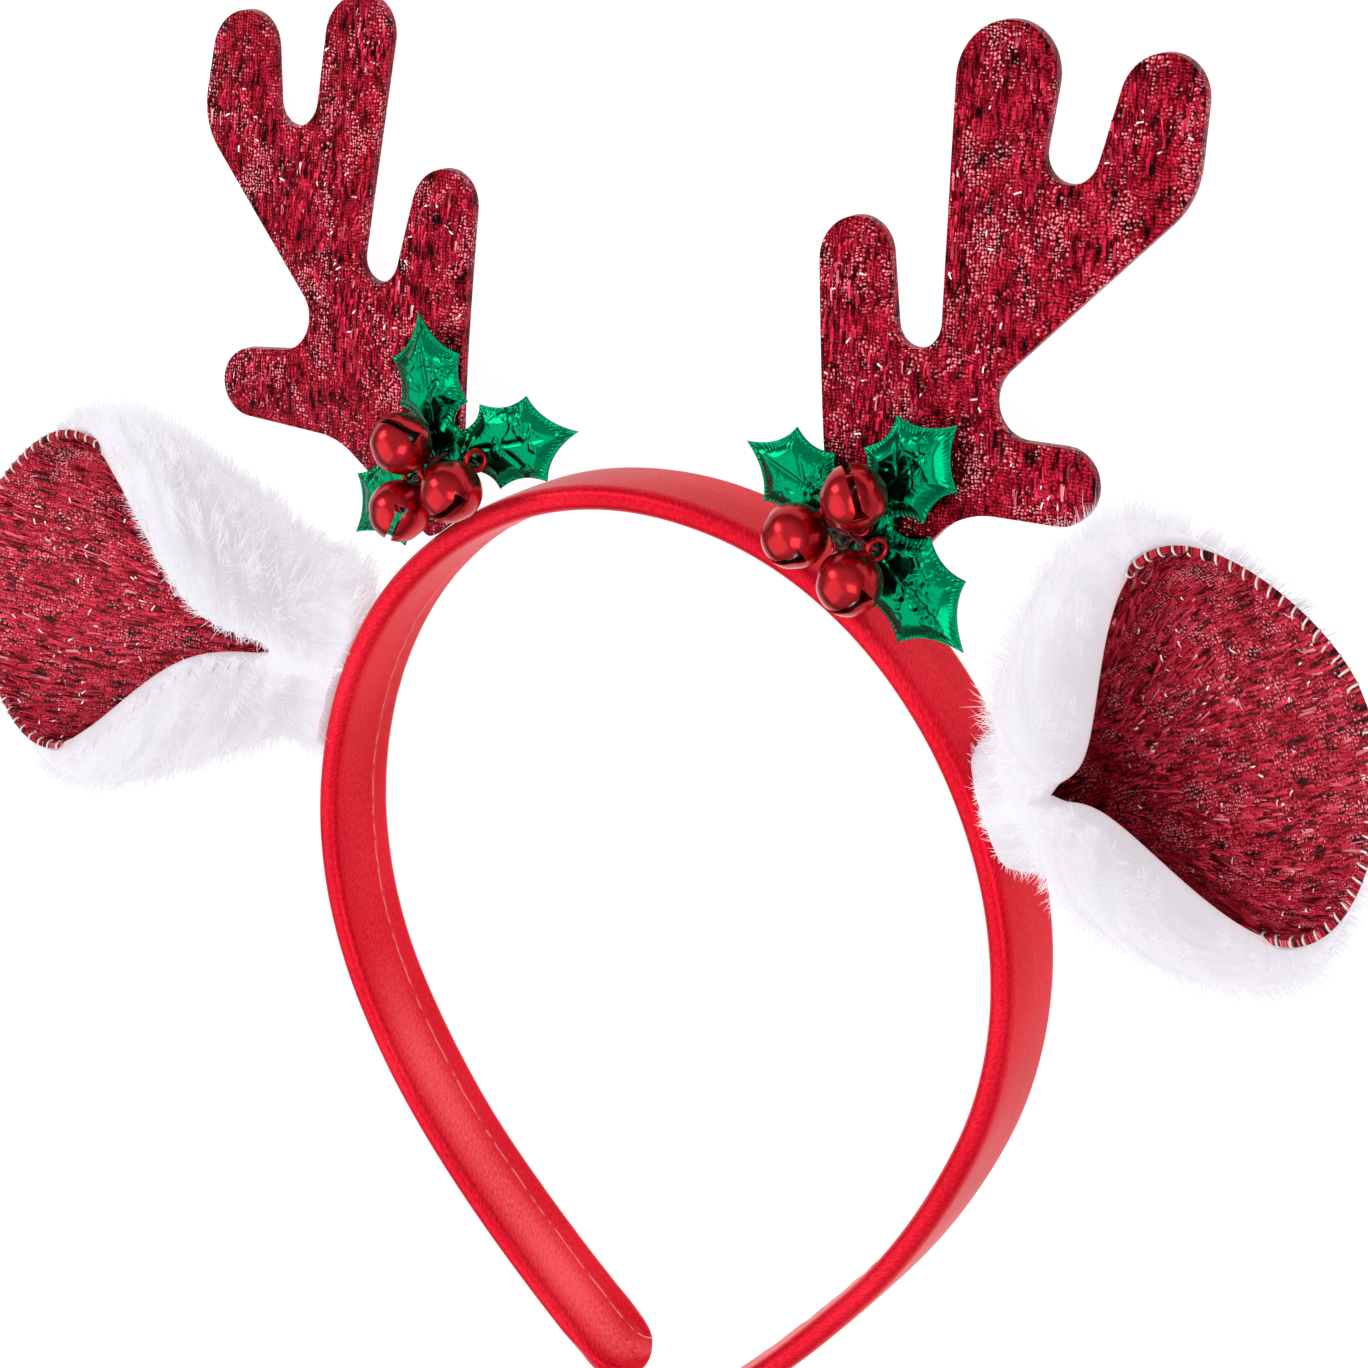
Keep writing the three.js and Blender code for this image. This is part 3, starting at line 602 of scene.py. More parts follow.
def satin_swell(along, section, half_wide, near_tip):
    """How far the sleeve stands off its smooth section: crown, puckered seam, and gathers at the tips."""
    out, up = section[:, 0], section[:, 1]
    crown = SLEEVE["crown"] * np.clip(1 - (up / half_wide) ** 2, 0, 1)
    from_seam = up + half_wide - SEAM["from_back"]
    inside = smoothstep(0.2, -0.6, out)
    fade = np.exp(-np.clip(from_seam, 0, None) / SEAM["fade"])
    lap = SEAM["step"] * smoothstep(-0.25, 0.25, from_seam) * fade
    ahead = np.full(len(section), along)
    ripple = rough(np.column_stack([ahead * 0.42, up * 0.16, np.full(len(section), 3.7)]))
    pucker = SEAM["pucker"] * ripple * np.exp(-np.abs(from_seam) / SEAM["pucker_reach"])
    swell = SLEEVE["swell"] * rough(np.column_stack([ahead * 0.05, up * 0.14, out * 0.3]))
    gather = rough(np.column_stack([ahead * 0.12, up * 0.55, out * 0.55 + 9.1]))
    return crown + inside * (lap + pucker) + swell + SLEEVE["gather"] * near_tip * gather


def make_band():
    """The satin sleeve drawn tight over the stiff hoop, with its seam inside and gathers at both tips."""
    half = half_hoop(BAND["step"])
    end = half[-1]
    stations = [(*row, 1.0) for row in half]
    for i in range(1, SLEEVE["tip_steps"]):
        angle = math.radians(90 * i / SLEEVE["tip_steps"])
        reach = BAND["tip"] * math.sin(angle)
        x = end[0] + reach * math.cos(end[2])
        y = end[1] + reach * math.sin(end[2])
        stations.append((x, y, end[2], end[3] + reach, math.cos(angle)))
    mirrored = [(-x, y, -heading, -length, share) for x, y, heading, length, share in stations[:0:-1]]
    rings = []
    uv = []
    count = BAND["round"]
    for x, y, heading, length, share in mirrored + stations:
        half_thick = BAND["thickness"] / 2 * (BAND["tip_thin"] + (1 - BAND["tip_thin"]) * share)
        half_wide = BAND["width"] / 2 * share
        corner = min(BAND["corner"], half_wide * 0.9, half_thick * 0.9)
        section, normals, total = rounded_section(half_thick, half_wide, corner, count)
        near_tip = float(smoothstep(end[3] - SLEEVE["gather_from"], end[3], abs(length))) * share
        swell = satin_swell(length, section, max(half_wide, 0.5), near_tip)
        section = section + normals * (swell * min(1.0, share * 3))[:, None]
        outward = np.array([-math.sin(heading), math.cos(heading)])
        flat = np.array([x, y]) + section[:, :1] * outward
        rings.append(np.column_stack([flat, BAND["width"] / 2 + section[:, 1]]))
        uv.append(np.column_stack([np.full(count, length), np.arange(count) / count * total]) * MM)
    points = np.concatenate(rings)
    points[:, 2] = np.maximum(points[:, 2], 0.0)
    points = np.vstack([points, rings[0].mean(0), rings[-1].mean(0)])
    faces = grid_faces(len(rings), count, closed=True)
    first, last = len(points) - 2, len(points) - 1
    base = (len(rings) - 1) * count
    for j in range(count):
        faces.append((first, (j + 1) % count, j))
        faces.append((last, base + j, base + (j + 1) % count))
    uv = np.vstack([np.concatenate(uv), uv[0].mean(0), uv[-1].mean(0)])
    band = new_piece("satin_band", points, faces, SATIN, uv=uv)
    face_outwards(band)
    dress(band, "satin", "band")


# Antlers

def belt_circles(row):
    """Circles of a side's belt, its feet on the band and the saddle between: x, y, radius, tip or not."""
    column = 1 if row["mirror"] == 1 else 2
    crown = BAND_ARCS[0][0]
    saddle = crown + BAND["thickness"] / 2 + ANTLER["gap"]
    reach = saddle + ANTLER["foot_radius"] + ANTLER["foot_lift"]
    feet = []
    for angle in row["feet"]:
        x = reach * math.sin(math.radians(angle))
        y = reach * math.cos(math.radians(angle)) - crown
        feet.append((x, y, ANTLER["foot_radius"], True))
    circles = [(*belt[column], belt[3]) for belt in ANTLER_BELT]
    return [feet[0], *circles, feet[1], (0.0, -crown, saddle, False)]


def belt_outline(row, spacing):
    """The closed outline round a side's belt of circles, as points about one spacing apart."""
    belt = belt_circles(row)
    signed = [radius if tip else -radius for _, _, radius, tip in belt]
    count = len(belt)
    headings = []
    for i, (x, y, _, _) in enumerate(belt):
        next_x, next_y = belt[(i + 1) % count][:2]
        apart = math.hypot(next_x - x, next_y - y)
        bearing = math.atan2(next_y - y, next_x - x)
        headings.append(bearing + math.asin((signed[(i + 1) % count] - signed[i]) / apart))
    corners = []
    for i, (x, y, radius, tip) in enumerate(belt):
        start = headings[i - 1] + (math.pi / 2 if tip else -math.pi / 2)
        sweep = headings[i] - headings[i - 1]
        sweep = -((-sweep) % math.tau) if tip else sweep % math.tau
        steps = max(2, math.ceil(abs(sweep) * radius / spacing))
        for k in range(steps + 1):
            angle = start + sweep * k / steps
            corners.append((x + radius * math.cos(angle), y + radius * math.sin(angle)))
    outline = []
    for here, there in zip(corners, corners[1:] + corners[:1]):
        steps = max(1, round(math.dist(here, there) / spacing))
        for k in range(steps):
            outline.append(np.array(here) + (np.array(there) - np.array(here)) * k / steps)
    return np.array(outline)


def antler_back(y):
    """Height of the antler's back: upright at its foot, then leaning back in a soft bend."""
    beyond = y - ANTLER["bend_y"]
    return ANTLER["foot_z"] - ANTLER["lean"] * (beyond + np.hypot(beyond, ANTLER["softness"])) / 2


def inside_outline(points, outline):
    """Which points lie inside a closed outline."""
    x, y = points[:, 0, None], points[:, 1, None]
    here, there = outline, np.roll(outline, -1, 0)
    straddles = (here[:, 1] > y) != (there[:, 1] > y)
    rise = np.where(there[:, 1] == here[:, 1], 1e-9, there[:, 1] - here[:, 1])
    crossing = (there[:, 0] - here[:, 0]) * (y - here[:, 1]) / rise + here[:, 0]
    return (straddles & (x < crossing)).sum(1) % 2 == 1


def strands(name, roots, along, out, longest, rng, material, mirror):
    """Flat tinsel strands lying along a surface, arched with their ends tucked in, and short slivers painted
    near white as glints.
    """
    count = len(roots)
    each = (count, 1)
    sliver = rng.random(each) < STRAND["slivers"]
    short = rng.uniform(*STRAND["sliver"], each)
    length = np.where(sliver, short, rng.uniform(*STRAND["length"], each) * longest)
    width = np.where(sliver, 0.24, rng.uniform(*STRAND["width"], each))
    turn = np.where(sliver, rng.uniform(0, math.pi, each), rng.normal(0.05, 0.09, each))
    way = along * np.cos(turn) + np.cross(out, along) * np.sin(turn)
    side = unit(np.cross(out, way) + out * rng.normal(0, 0.25, each))
    # Where a strand is held along its length, and how far it stands off the surface there
    arch = [(-0.5, -0.12), (-0.3, 0.05), (0.0, 0.1), (0.3, 0.05), (0.5, -0.12)]
    points = []
    for share, lift in arch:
        middle = roots + way * length * share + out * (lift + 0.03)
        points += [middle - side * width / 2, middle + side * width / 2]
    points = np.stack(points, 1).reshape(-1, 3)
    rungs = np.arange(len(arch) - 1) * 2
    one = np.stack([rungs, rungs + 1, rungs + 3, rungs + 2], -1)
    faces = (np.arange(count)[:, None, None] * 2 * len(arch) + one).reshape(-1, 4).tolist()
    dark = rng.random(count) < STRAND["dark"]
    shade = np.where(dark, rng.uniform(0, 0.3, count), rng.uniform(0.55, 0.9, count))
    # Slivers take the palest, near-white shade: a painted glint
    shade = np.where(sliver[:, 0], 1.0, shade)
    return new_piece(name, points, faces, material, mirror, shade=np.repeat(shade, 2 * len(arch)))


def unroll_knit(mesh):
    """Lays the knit flat on an antler's faces; over the cut edge a wall unrolls outwards by its depth."""
    places = field_of(mesh.vertices, "co", 3)
    depth = (ANTLER["thickness"] + antler_back(places[:, 1] / MM - CENTRE[1])) * MM - places[:, 2]
    corners = field_of(mesh.loops, "vertex_index", 1, int)[:, 0]
    normals = field_of(mesh.polygons, "normal", 3)
    sizes = field_of(mesh.polygons, "loop_total", 1, int)[:, 0]
    wall = np.where(np.abs(normals[:, 2:]) < 0.9, normals[:, :2], 0.0)
    unrolled = places[corners][:, :2] + np.repeat(wall, sizes, axis=0) * depth[corners][:, None]
    layer = mesh.uv_layers.new(name="knit")
    layer.data.foreach_set("uv", unrolled.astype(np.float32).ravel())


def antler_tinsel(side, row, outline):
    """Tinsel strands on both faces of an antler, in loose groups some 6 mm wide, clear of the cut edge."""
    rng = np.random.default_rng(row["seed"])
    count = ANTLER["tries"]
    low, high = outline.min(0), outline.max(0)
    tries = np.column_stack([rng.uniform(low[0], high[0], count), rng.uniform(low[1], high[1], count)])
    grouped = rough(np.column_stack([tries * [0.17, 0.1], np.full(count, row["seed"] + 0.5)]))
    kept = grouped + rng.normal(0, 0.16, count) > 0.06
    for reach in ((0, 2.4), (0, -2.4), (0.5, 0), (-0.5, 0)):
        kept &= inside_outline(tries + reach, outline)
    roots = tries[kept]
    slope = antler_back(roots[:, 1] + 0.5) - antler_back(roots[:, 1] - 0.5)
    along = unit(np.column_stack([np.zeros(len(roots)), np.ones(len(roots)), slope]))
    out = unit(np.column_stack([np.zeros(len(roots)), -slope, np.ones(len(roots))]))
    # Three strands of five lie on the front
    front = np.arange(len(roots)) % 5 < 3
    facing = np.where(front[:, None], out, -out)
    heights = antler_back(roots[:, 1]) + np.where(front, ANTLER["thickness"], 0.0)
    roots = np.column_stack([roots, heights])
    name = f"antler_tinsel_{side}"
    return strands(name, roots, along, facing, ANTLER["strand"], rng, TINSEL, row["mirror"])


def make_antler(side, row):
    """A cut-out sheet of knit on stiff felt, its edge softly rounded, with tinsel strands on both faces."""
    outline = belt_outline(row, ANTLER["spacing"])
    points = np.column_stack([outline, np.zeros(len(outline))])
    antler = new_piece(f"knit_antler_{side}", points, [range(len(points))], KNIT, row["mirror"])
    pick(antler)
    bpy.ops.object.mode_set(mode="EDIT")
    for y in np.arange(outline[:, 1].min() + ANTLER["cut_step"], outline[:, 1].max(), ANTLER["cut_step"]):
        bpy.ops.mesh.select_all(action="SELECT")
        bpy.ops.mesh.bisect(plane_co=(0, (y + CENTRE[1]) * MM, 0), plane_no=(0, 1, 0))
    bpy.ops.mesh.select_all(action="SELECT")
    bpy.ops.mesh.normals_make_consistent(inside=False)
    bpy.ops.object.mode_set(mode="OBJECT")
    if antler.data.polygons[0].normal.z < 0:
        antler.data.flip_normals()
    apply_modifier(antler, "SOLIDIFY", thickness=ANTLER["thickness"] * MM, offset=1.0)
    round_edges(antler, ANTLER["edge"], 60)
    places = field_of(antler.data.vertices, "co", 3)
    places[:, 2] += antler_back(places[:, 1] / MM - CENTRE[1]) * MM
    antler.data.vertices.foreach_set("co", places.ravel())
    unroll_knit(antler.data)
    smooth_below(antler, 40)
    tinsel = dress(antler_tinsel(side, row, outline), "metallic_knit")
    dress(antler, "metallic_knit", f"antler_{side}")


# Ears

def section_value(column, place):
    """A column of the ear's sections on the smooth curve through its rows."""
    places = EAR_SECTIONS[:, 0]
    values = EAR_SECTIONS[:, column]
    last = len(places) - 1
    i = np.clip(np.searchsorted(places, place, side="right"), 1, last)
    before = np.where(i >= 2, i - 2, i)
    after = np.where(i < last, i + 1, i - 1)
    t0, t1 = places[i - 1], places[i]
    half = (t1 - t0) / 2
    w_before = half / (t0 - np.where(i >= 2, places[before], t1))
    w_after = half / (np.where(i < last, places[after], t0) - t1)
    p = (place - t0) / (t1 - t0)
    s_before = -w_before * p**3 + 2 * w_before * p**2 - w_before * p
    s_0 = (1 + w_before) * p**3 + (-1.5 - 2 * w_before) * p**2 + (-0.5 + w_before) * p + 1
    s_1 = (-1 - w_after) * p**3 + (1.5 + w_after) * p**2 + 0.5 * p
    s_after = w_after * p**3 - w_after * p**2
    return s_before * values[before] + s_0 * values[i - 1] + s_1 * values[i] + s_after * values[after]


def half_width(share):
    """Half the width of the ear's lining; beyond its ends it stays as it is there."""
    return section_value(1, np.clip(share, 0, 1))


def ear_wrap(share):
    """How far round the ear's section reaches to each side, in radians; it closes at the round tip."""
    held = np.clip(share, 0, 1)
    return np.radians(section_value(3, held)) * np.sqrt(np.maximum(1 - held**4, 0))


def ear_point(share, angle, out):
    """Points of the ear before it is set: along it, round its section, and out from the lining's face."""
    along = share * EAR["length"]
    lift = EAR["root_lift"] * (np.minimum(along, 0) / EAR["root"]) ** 2
    across = (half_width(share) + out) * np.sin(angle)
    forward = lift - (section_value(2, np.clip(share, 0, 1)) + out) * np.cos(angle)
    return np.stack([along + 0 * across, across, forward], -1)


def ear_setting(ear):
    """The turn that sets an ear on the band, as a matrix for row points."""
    yaw = Matrix.Rotation(math.radians(ear["yaw"]), 3, "Z")
    pitch = Matrix.Rotation(-math.radians(ear["pitch"]), 3, "Y")
    roll = Matrix.Rotation(math.radians(ear["roll"]), 3, "X")
    return np.array(yaw @ pitch @ roll).T


def set_ear(points, ear):
    """Points of the ear set on the band."""
    return points @ ear_setting(ear) + EAR_AT


def off_the_band(points):
    """Pushes points that would lie in the band out to just off its outer face."""
    clear = BAND["thickness"] / 2 + 0.45
    line = half_hoop(BAND["step"])
    normals = np.column_stack([-np.sin(line[:, 2]), np.cos(line[:, 2])])
    gaps = points[:, None, :2] - line[None, :, :2]
    nearest = np.linalg.norm(gaps, axis=2).argmin(1)
    apart = (gaps[np.arange(len(points)), nearest] * normals[nearest]).sum(1)
    points[:, :2] += normals[nearest] * np.clip(clear - apart, 0, None)[:, None]
    return points


def fur_radius(share):
    """Half the width of the ear at the back of the fur's fabric."""
    return half_width(share) + SKIN


def fur_wrap(share):
    """How far round the fur goes: its flaps meet at the root and fold over the lining, short of the tip."""
    held = np.clip(share, 0, 1)
    fold = PILE["fold"] * smoothstep(-0.1, 0.3, held) * smoothstep(0.75, 0.55, held)
    meeting = math.radians(16) * smoothstep(0.11, -0.06, share)
    wrap = ear_wrap(held + PILE["set_back"] * smoothstep(0.55, 0.8, held))
    return np.minimum(wrap + fold / fur_radius(share) + meeting, math.radians(180.4))


def root_fill(share, angle, ear):
    """How full the fur is: a notch parts the flaps in front, and the root thins, clear of the band."""
    notch = smoothstep(2.1, 2.7, np.abs(angle))
    front = 1 - PILE["notch"] * notch * smoothstep(0.2, -0.06, share)
    return front * (1 - ear["root_thin"] * (1 - 0.35 * notch) * smoothstep(0.13, -0.07, share))


def fur_edge(share, angle):
    """How far a place on the fur lies from its sewn edge; where the flaps meet it counts as within."""
    from_side = (fur_wrap(share) - np.abs(angle)) * fur_radius(share) * 0.8
    from_tip = (EAR["last"] - PILE["set_back"] - share) * EAR["length"] * 1.2
    return np.minimum(from_side, from_tip) + 0.55 * PILE["shoulder"] * smoothstep(0.07, -0.02, share)


def fur_body(share, angle, ear):
    """How far the fur's soft body stands off its backing: a round edge, full within, in loose tufts."""
    rise = np.clip(fur_edge(share, angle) / PILE["shoulder"], 0, 1)
    full = np.sqrt(1 - (1 - rise) ** 2) * smoothstep(FUR_FROM, FUR_FROM + 0.06, share) ** 0.5
    place = np.column_stack([share * EAR["length"], angle * fur_radius(share), 0 * share])
    tufts = 0.12 * rough(place * 0.13) + 0.05 * rough(place * 0.4 + 7.3)
    thinned = (1 - PILE["tip_thin"] * smoothstep(0.36, 0.78, share)) * root_fill(share, angle, ear)
    return ear["body"] * full * thinned * (1 + tufts)


def fur_under(share, angle):
    """The fur's inner face: behind the lining, and turned in over the lining's edge where it folds past."""
    behind = EAR["lining"] + EAR["gap"]
    past = (np.abs(angle) - ear_wrap(share)) * (half_width(share) + EAR["lining"])
    return behind - (behind - 0.1) * smoothstep(0.15, 0.6, past)


def ear_sheet(name, ear, span, wrap, inner, outer, material, mirror, uv_name):
    """A closed sheet over a span of the ear's length, between two faces that lie off the lining's own."""
    rows, columns = 100, 130
    low, last = span
    shares = low + (last - low) * (1 - (1 - np.linspace(0, 1, rows)) ** 1.5)
    share = np.repeat(shares, columns)
    # The columns stand closer at the edges, where the sheet rolls over
    angle = wrap(share) * np.tile(np.sin(np.linspace(-1, 1, columns) * math.pi / 2), rows)
    layers = [ear_point(share, angle, face(share, angle)) for face in (inner, outer)]
    layers = [off_the_band(set_ear(layer, ear)) for layer in layers]
    for layer, above in zip(layers, (0.5, 0.2)):
        layer[:, 2] = np.maximum(layer[:, 2], above)
    faces = [face[::-1] for face in sheet_faces(rows, columns)]
    width = half_width(share) * angle
    uv = np.tile(np.column_stack([width, share * EAR["length"]]) * MM, (2, 1))
    piece = new_piece(name, np.vstack(layers), faces, material, mirror, uv=uv, uv_name=uv_name)
    face_outwards(piece)
    smooth_below(piece, 60)
    flat = (2 * np.abs(width).max() * MM, (last - low) * EAR["length"] * MM)
    first = layers[0].reshape(rows, columns, 3)
    long_way = np.linalg.norm(np.diff(first, axis=0), axis=2)[:, :-1]
    cross_way = np.linalg.norm(np.diff(first, axis=1), axis=2)[:-1]
    return piece, flat, float((long_way * cross_way).sum()) * MM * MM


def ear_frame(share, angle, out):
    """Point, outward, along and across directions at places of the ear before it is set."""
    step = 1e-3
    outward = unit(np.stack([0 * angle, np.sin(angle), -np.cos(angle)], -1))
    along = unit(ear_point(share + step, angle, out) - ear_point(share - step, angle, out))
    across = unit(ear_point(share, angle + step, out) - ear_point(share, angle - step, out))
    return ear_point(share, angle, out), outward, along, across


def make_pile(side, row):
    """The fur's loose hairs: thin bent ribbons combed along its body, that stand off it at its outline."""
    rng = np.random.default_rng(row["seed"] + 20)
    count = PILE["hairs"]
    each = (count, 1)
    ear = row["ear"]
    table = np.linspace(FUR_FROM, 0.925, 500)
    weight = fur_wrap(table) * (half_width(table) + 3)
    share = rng.choice(table, count, p=weight / weight.sum()) + rng.uniform(-0.0012, 0.0012, count)
    angle = fur_wrap(share) * rng.uniform(-0.997, 0.997, count)
    # The rolled edge is steep, so a part of the hairs is set there on purpose
    radius = fur_radius(share)
    from_edge = PILE["edge_reach"] * rng.random(count) ** 2 / radius
    at_edge = np.sign(angle) * (fur_wrap(share) - from_edge)
    angle = np.where(rng.random(count) < PILE["at_edge"], at_edge, angle)
    root, out, along, across = ear_frame(share, angle, SKIN + fur_body(share, angle, ear) - 0.4)
    near = np.exp(-np.clip(fur_edge(share, angle), 0, None) / 2.6)[:, None]
    edgeward = np.sign(angle)[:, None] * across
    # Hairs of one tuft lean the same way, picked from the tuft's own place
    cell = np.floor(np.column_stack([share * EAR["length"], angle * radius]) / PILE["tuft"]).astype(int)
    mixers = ((12.99, 78.23), (39.35, 11.14), (73.16, 52.24))
    tuft = np.stack([np.sin(cell @ np.array(mixer)) for mixer in mixers], -1)
    nap = along * (np.clip(share, 0, 1)[:, None] * 1.6 - 0.2)
    chance = [rng.normal(0, HAIR["chance"][0], (count, 3))]
    # At the root the hairs lie over the crease between the flaps
    closing = smoothstep(0.08, 0.0, share) * np.exp(-np.abs(math.pi - np.abs(angle)) * radius / 2.5)
    lean = (HAIR["lean"] * near + HAIR["close"] * closing[:, None]) * edgeward
    first = unit(HAIR["out"] * out + lean + HAIR["nap"][0] * nap + HAIR["tuft"][0] * tuft + chance[0])
    setting = ear_setting(ear)
    fall = np.array([0.0, 0.0, -HAIR["fall"]]) @ setting.T
    chance.append(rng.normal(0, HAIR["chance"][1], (count, 3)))
    then = unit(first + HAIR["nap"][1] * nap + HAIR["tuft"][1] * tuft + fall + chance[1])
    length = PILE["length"] * rng.uniform(0.45, 1.0, each) * (1 - 0.6 * near)
    length *= 0.3 + 0.7 * root_fill(share, angle, ear)[:, None]
    length *= np.where(rng.random(each) < 0.06, 1.5, 1.0)
    joints = [root]
    for way, part in zip((first, unit(first + then), then), HAIR["joints"]):
        joints.append(joints[-1] + way * length * part)
    # Each ribbon turns its flat outwards and up to the light, as a see-through hair looks from every side
    flat = unit(out + np.array([0.0, 0.0, 0.9]) @ setting.T)
    edge = unit(np.cross(first, flat + rng.normal(0, 0.12, (count, 3))))
    half = PILE["width"] / 2 * rng.uniform(0.7, 1.2, each)
    rows = []
    for joint, taper in zip(joints, HAIR["taper"]):
        rows += [joint - edge * half * taper, joint + edge * half * taper]
    rows.append(joints[3])
    points = set_ear(np.stack(rows, 1), ear)
    points[:, :, 2] = np.maximum(points[:, :, 2], 0.2)
    pushed = points[:, 0] - off_the_band(points[:, 0].copy())
    kept = np.linalg.norm(pushed, axis=1) < 1e-6
    # A ribbon that would show its back is left out, since its dark side isn't how a hair looks
    for way in (first, then):
        kept &= (np.cross(edge, way) * flat).sum(1) > 0.6
    points = points[kept]
    normals = unit(0.5 * out + np.array([0.0, 0.0, 1.2]) @ setting.T)[kept] @ setting
    normals = normals * np.array([row["mirror"], 1, 1])
    ribbon_uv = [(0.0, 0.0), (1.0, 0.0), (0.0, 0.4), (1.0, 0.4), (0.0, 0.72), (1.0, 0.72), (0.5, 1.0)]
    size = len(ribbon_uv)
    start = np.arange(len(points))[:, None] * size
    quads = np.vstack([start + [0, 1, 3, 2], start + [2, 3, 5, 4]])
    faces = quads.tolist() + (start + [4, 5, 6]).tolist()
    uv = np.tile(ribbon_uv, (len(points), 1))
    name = f"fur_pile_{side}"
    pile = new_piece(name, points.reshape(-1, 3), faces, PILE_HAIR, row["mirror"], uv=uv, uv_name="pile")
    pile.data.normals_split_custom_set_from_vertices(np.repeat(normals, size, axis=0).tolist())
    # Fine hairs let the light through, so they shade nothing
    pile.visible_shadow = False
    return dress(pile, "fur")


def tube(path, radius, sides, start):
    """Points, faces and thread coordinates of a round tube with closed ends along a path."""
    path = np.asarray(path, float)
    ahead = unit(np.gradient(path, axis=0))
    across = unit(np.cross(ahead, np.array([0.31, 0.27, 0.91])))
    other = np.cross(ahead, across)
    turns = np.arange(sides) / sides * math.tau
    taper = np.ones(len(path))
    taper[[0, -1]] = 0.35
    spokes = np.cos(turns)[:, None, None] * across + np.sin(turns)[:, None, None] * other
    rings = path[:, None] + (spokes * (radius * taper)[:, None]).transpose(1, 0, 2)
    faces = grid_faces(len(path), sides, start, closed=True)
    last = start + (len(path) - 1) * sides
    faces.append(tuple(range(start, start + sides))[::-1])
    faces.append(tuple(range(last, last + sides)))
    uv = np.stack(np.meshgrid(run_length(path), turns * radius, indexing="ij"), -1).reshape(-1, 2) * MM
    return rings.reshape(-1, 3), faces, uv


def threads(name, paths, radii, sides, material, mirror):
    """Several lengths of thread joined as one piece, each with its radius."""
    points, faces, uv = [], [], []
    start = 0
    for path, radius in zip(paths, radii):
        more_points, more_faces, more_uv = tube(path, radius, sides, start)
        points.append(more_points)
        faces += more_faces
        uv.append(more_uv)
        start += len(more_points)
    piece = new_piece(name, np.vstack(points), faces, material, mirror, uv=np.vstack(uv), uv_name="thread")
    face_outwards(piece)
    return piece


def curved(points, count):
    """A smooth line through a few points."""
    points = np.asarray(points, float)
    padded = np.vstack([2 * points[0] - points[1], points, 2 * points[-1] - points[-2]])
    line = []
    for place in np.linspace(0, len(points) - 1, count):
        i = min(int(place), len(points) - 2)
        t = place - i
        a, b, c, d = padded[i:i + 4]
        square, cube = 2 * a - 5 * b + 4 * c - d, 3 * b - a - 3 * c + d
        line.append(0.5 * (2 * b + (c - a) * t + square * t**2 + cube * t**3))
    return np.array(line)


def make_rim_stitches(side, row):
    """Cream whip stitches over the lining's rim round the ear's tip, and small ones in the flaps' edges."""
    rng = np.random.default_rng(row["seed"] + 40)
    ear = row["ear"]
    count = 400
    shares = STITCH["from"] + (EAR["last"] - STITCH["from"]) * (1 - (1 - np.linspace(0, 1, count)) ** 2)
    share = np.concatenate([shares, shares[::-1]])
    sign = np.concatenate([np.ones(count), -np.ones(count)])
    edge = ear_point(share, sign * ear_wrap(share), 0.5)
    lengths = run_length(edge)
    pitch = STITCH["pitch"]
    places = np.interp(np.arange(pitch / 2, lengths[-1], pitch), lengths, np.arange(2 * count))
    paths = []
    for i in places.astype(int):
        spot = edge[i]
        ahead = unit(edge[min(i + 2, 2 * count - 1)] - edge[max(i - 2, 0)])
        angle = sign[i] * ear_wrap(share[i])
        outward = np.array([0.0, math.sin(angle), -math.cos(angle)])
        inward = unit(np.cross(outward, ahead))
        inward *= np.sign(inward @ (ear_point(share[i] * 0.9, 0.9 * angle, 0.5) - spot) + 1e-9)
        slant = ahead * rng.normal(0.35, 0.18)
        deep = rng.uniform(1.1, 1.7)
        stitch = [
            spot + inward * (part * deep + more) + slant * slanted + outward * out
            for part, more, slanted, out in STITCH_PATH
        ]
        paths.append(set_ear(curved(stitch, 13), ear))
    radii = [STITCH["rim_radius"]] * len(paths)
    flap = np.arange(STITCH["flap_from"], ear["sewn"], pitch / EAR["length"])
    for way in (1, -1):
        for at in flap + rng.uniform(-0.004, 0.004, len(flap)):
            places = np.full(4, at) + np.linspace(0, 0.008, 4)
            turned = way * (fur_wrap(places) - np.array([0.12, 0.3, 0.6, 1.0]) / fur_radius(places))
            over = SKIN + fur_body(places, turned, ear) + np.array([-0.2, 0.12, 0.12, -0.2])
            paths.append(set_ear(curved(ear_point(places, turned, over), 9), ear))
            radii.append(STITCH["flap_radius"])
    stitches = threads(f"rim_stitches_{side}", paths, radii, 7, CREAM_THREAD, row["mirror"])
    return dress(stitches, "fur")


def lining_tinsel(side, row):
    """Tinsel strands on the lining's face, in loose groups some 6 mm wide."""
    rng = np.random.default_rng(row["seed"] + 60)
    count = EAR["tries"]
    table = np.linspace(0.05, 0.96, 300)
    weight = ear_wrap(table) * half_width(table)
    share = rng.choice(table, count, p=weight / weight.sum())
    angle = ear_wrap(share) * rng.uniform(-0.93, 0.93, count)
    around = angle * half_width(share)
    grouped = rough(np.column_stack([around * 0.17, share * EAR["length"] * 0.1, np.full(count, 0.3)]))
    kept = grouped + rng.normal(0, 0.16, count) > -0.05
    root, out, along, _ = ear_frame(share[kept], angle[kept], 0.0)
    setting = ear_setting(row["ear"])
    roots = set_ear(root, row["ear"])
    name = f"lining_tinsel_{side}"
    longest = EAR["strand"]
    return strands(name, roots, along @ setting, -out @ setting, longest, rng, BRIGHTENED_LINING_TINSEL, row["mirror"])


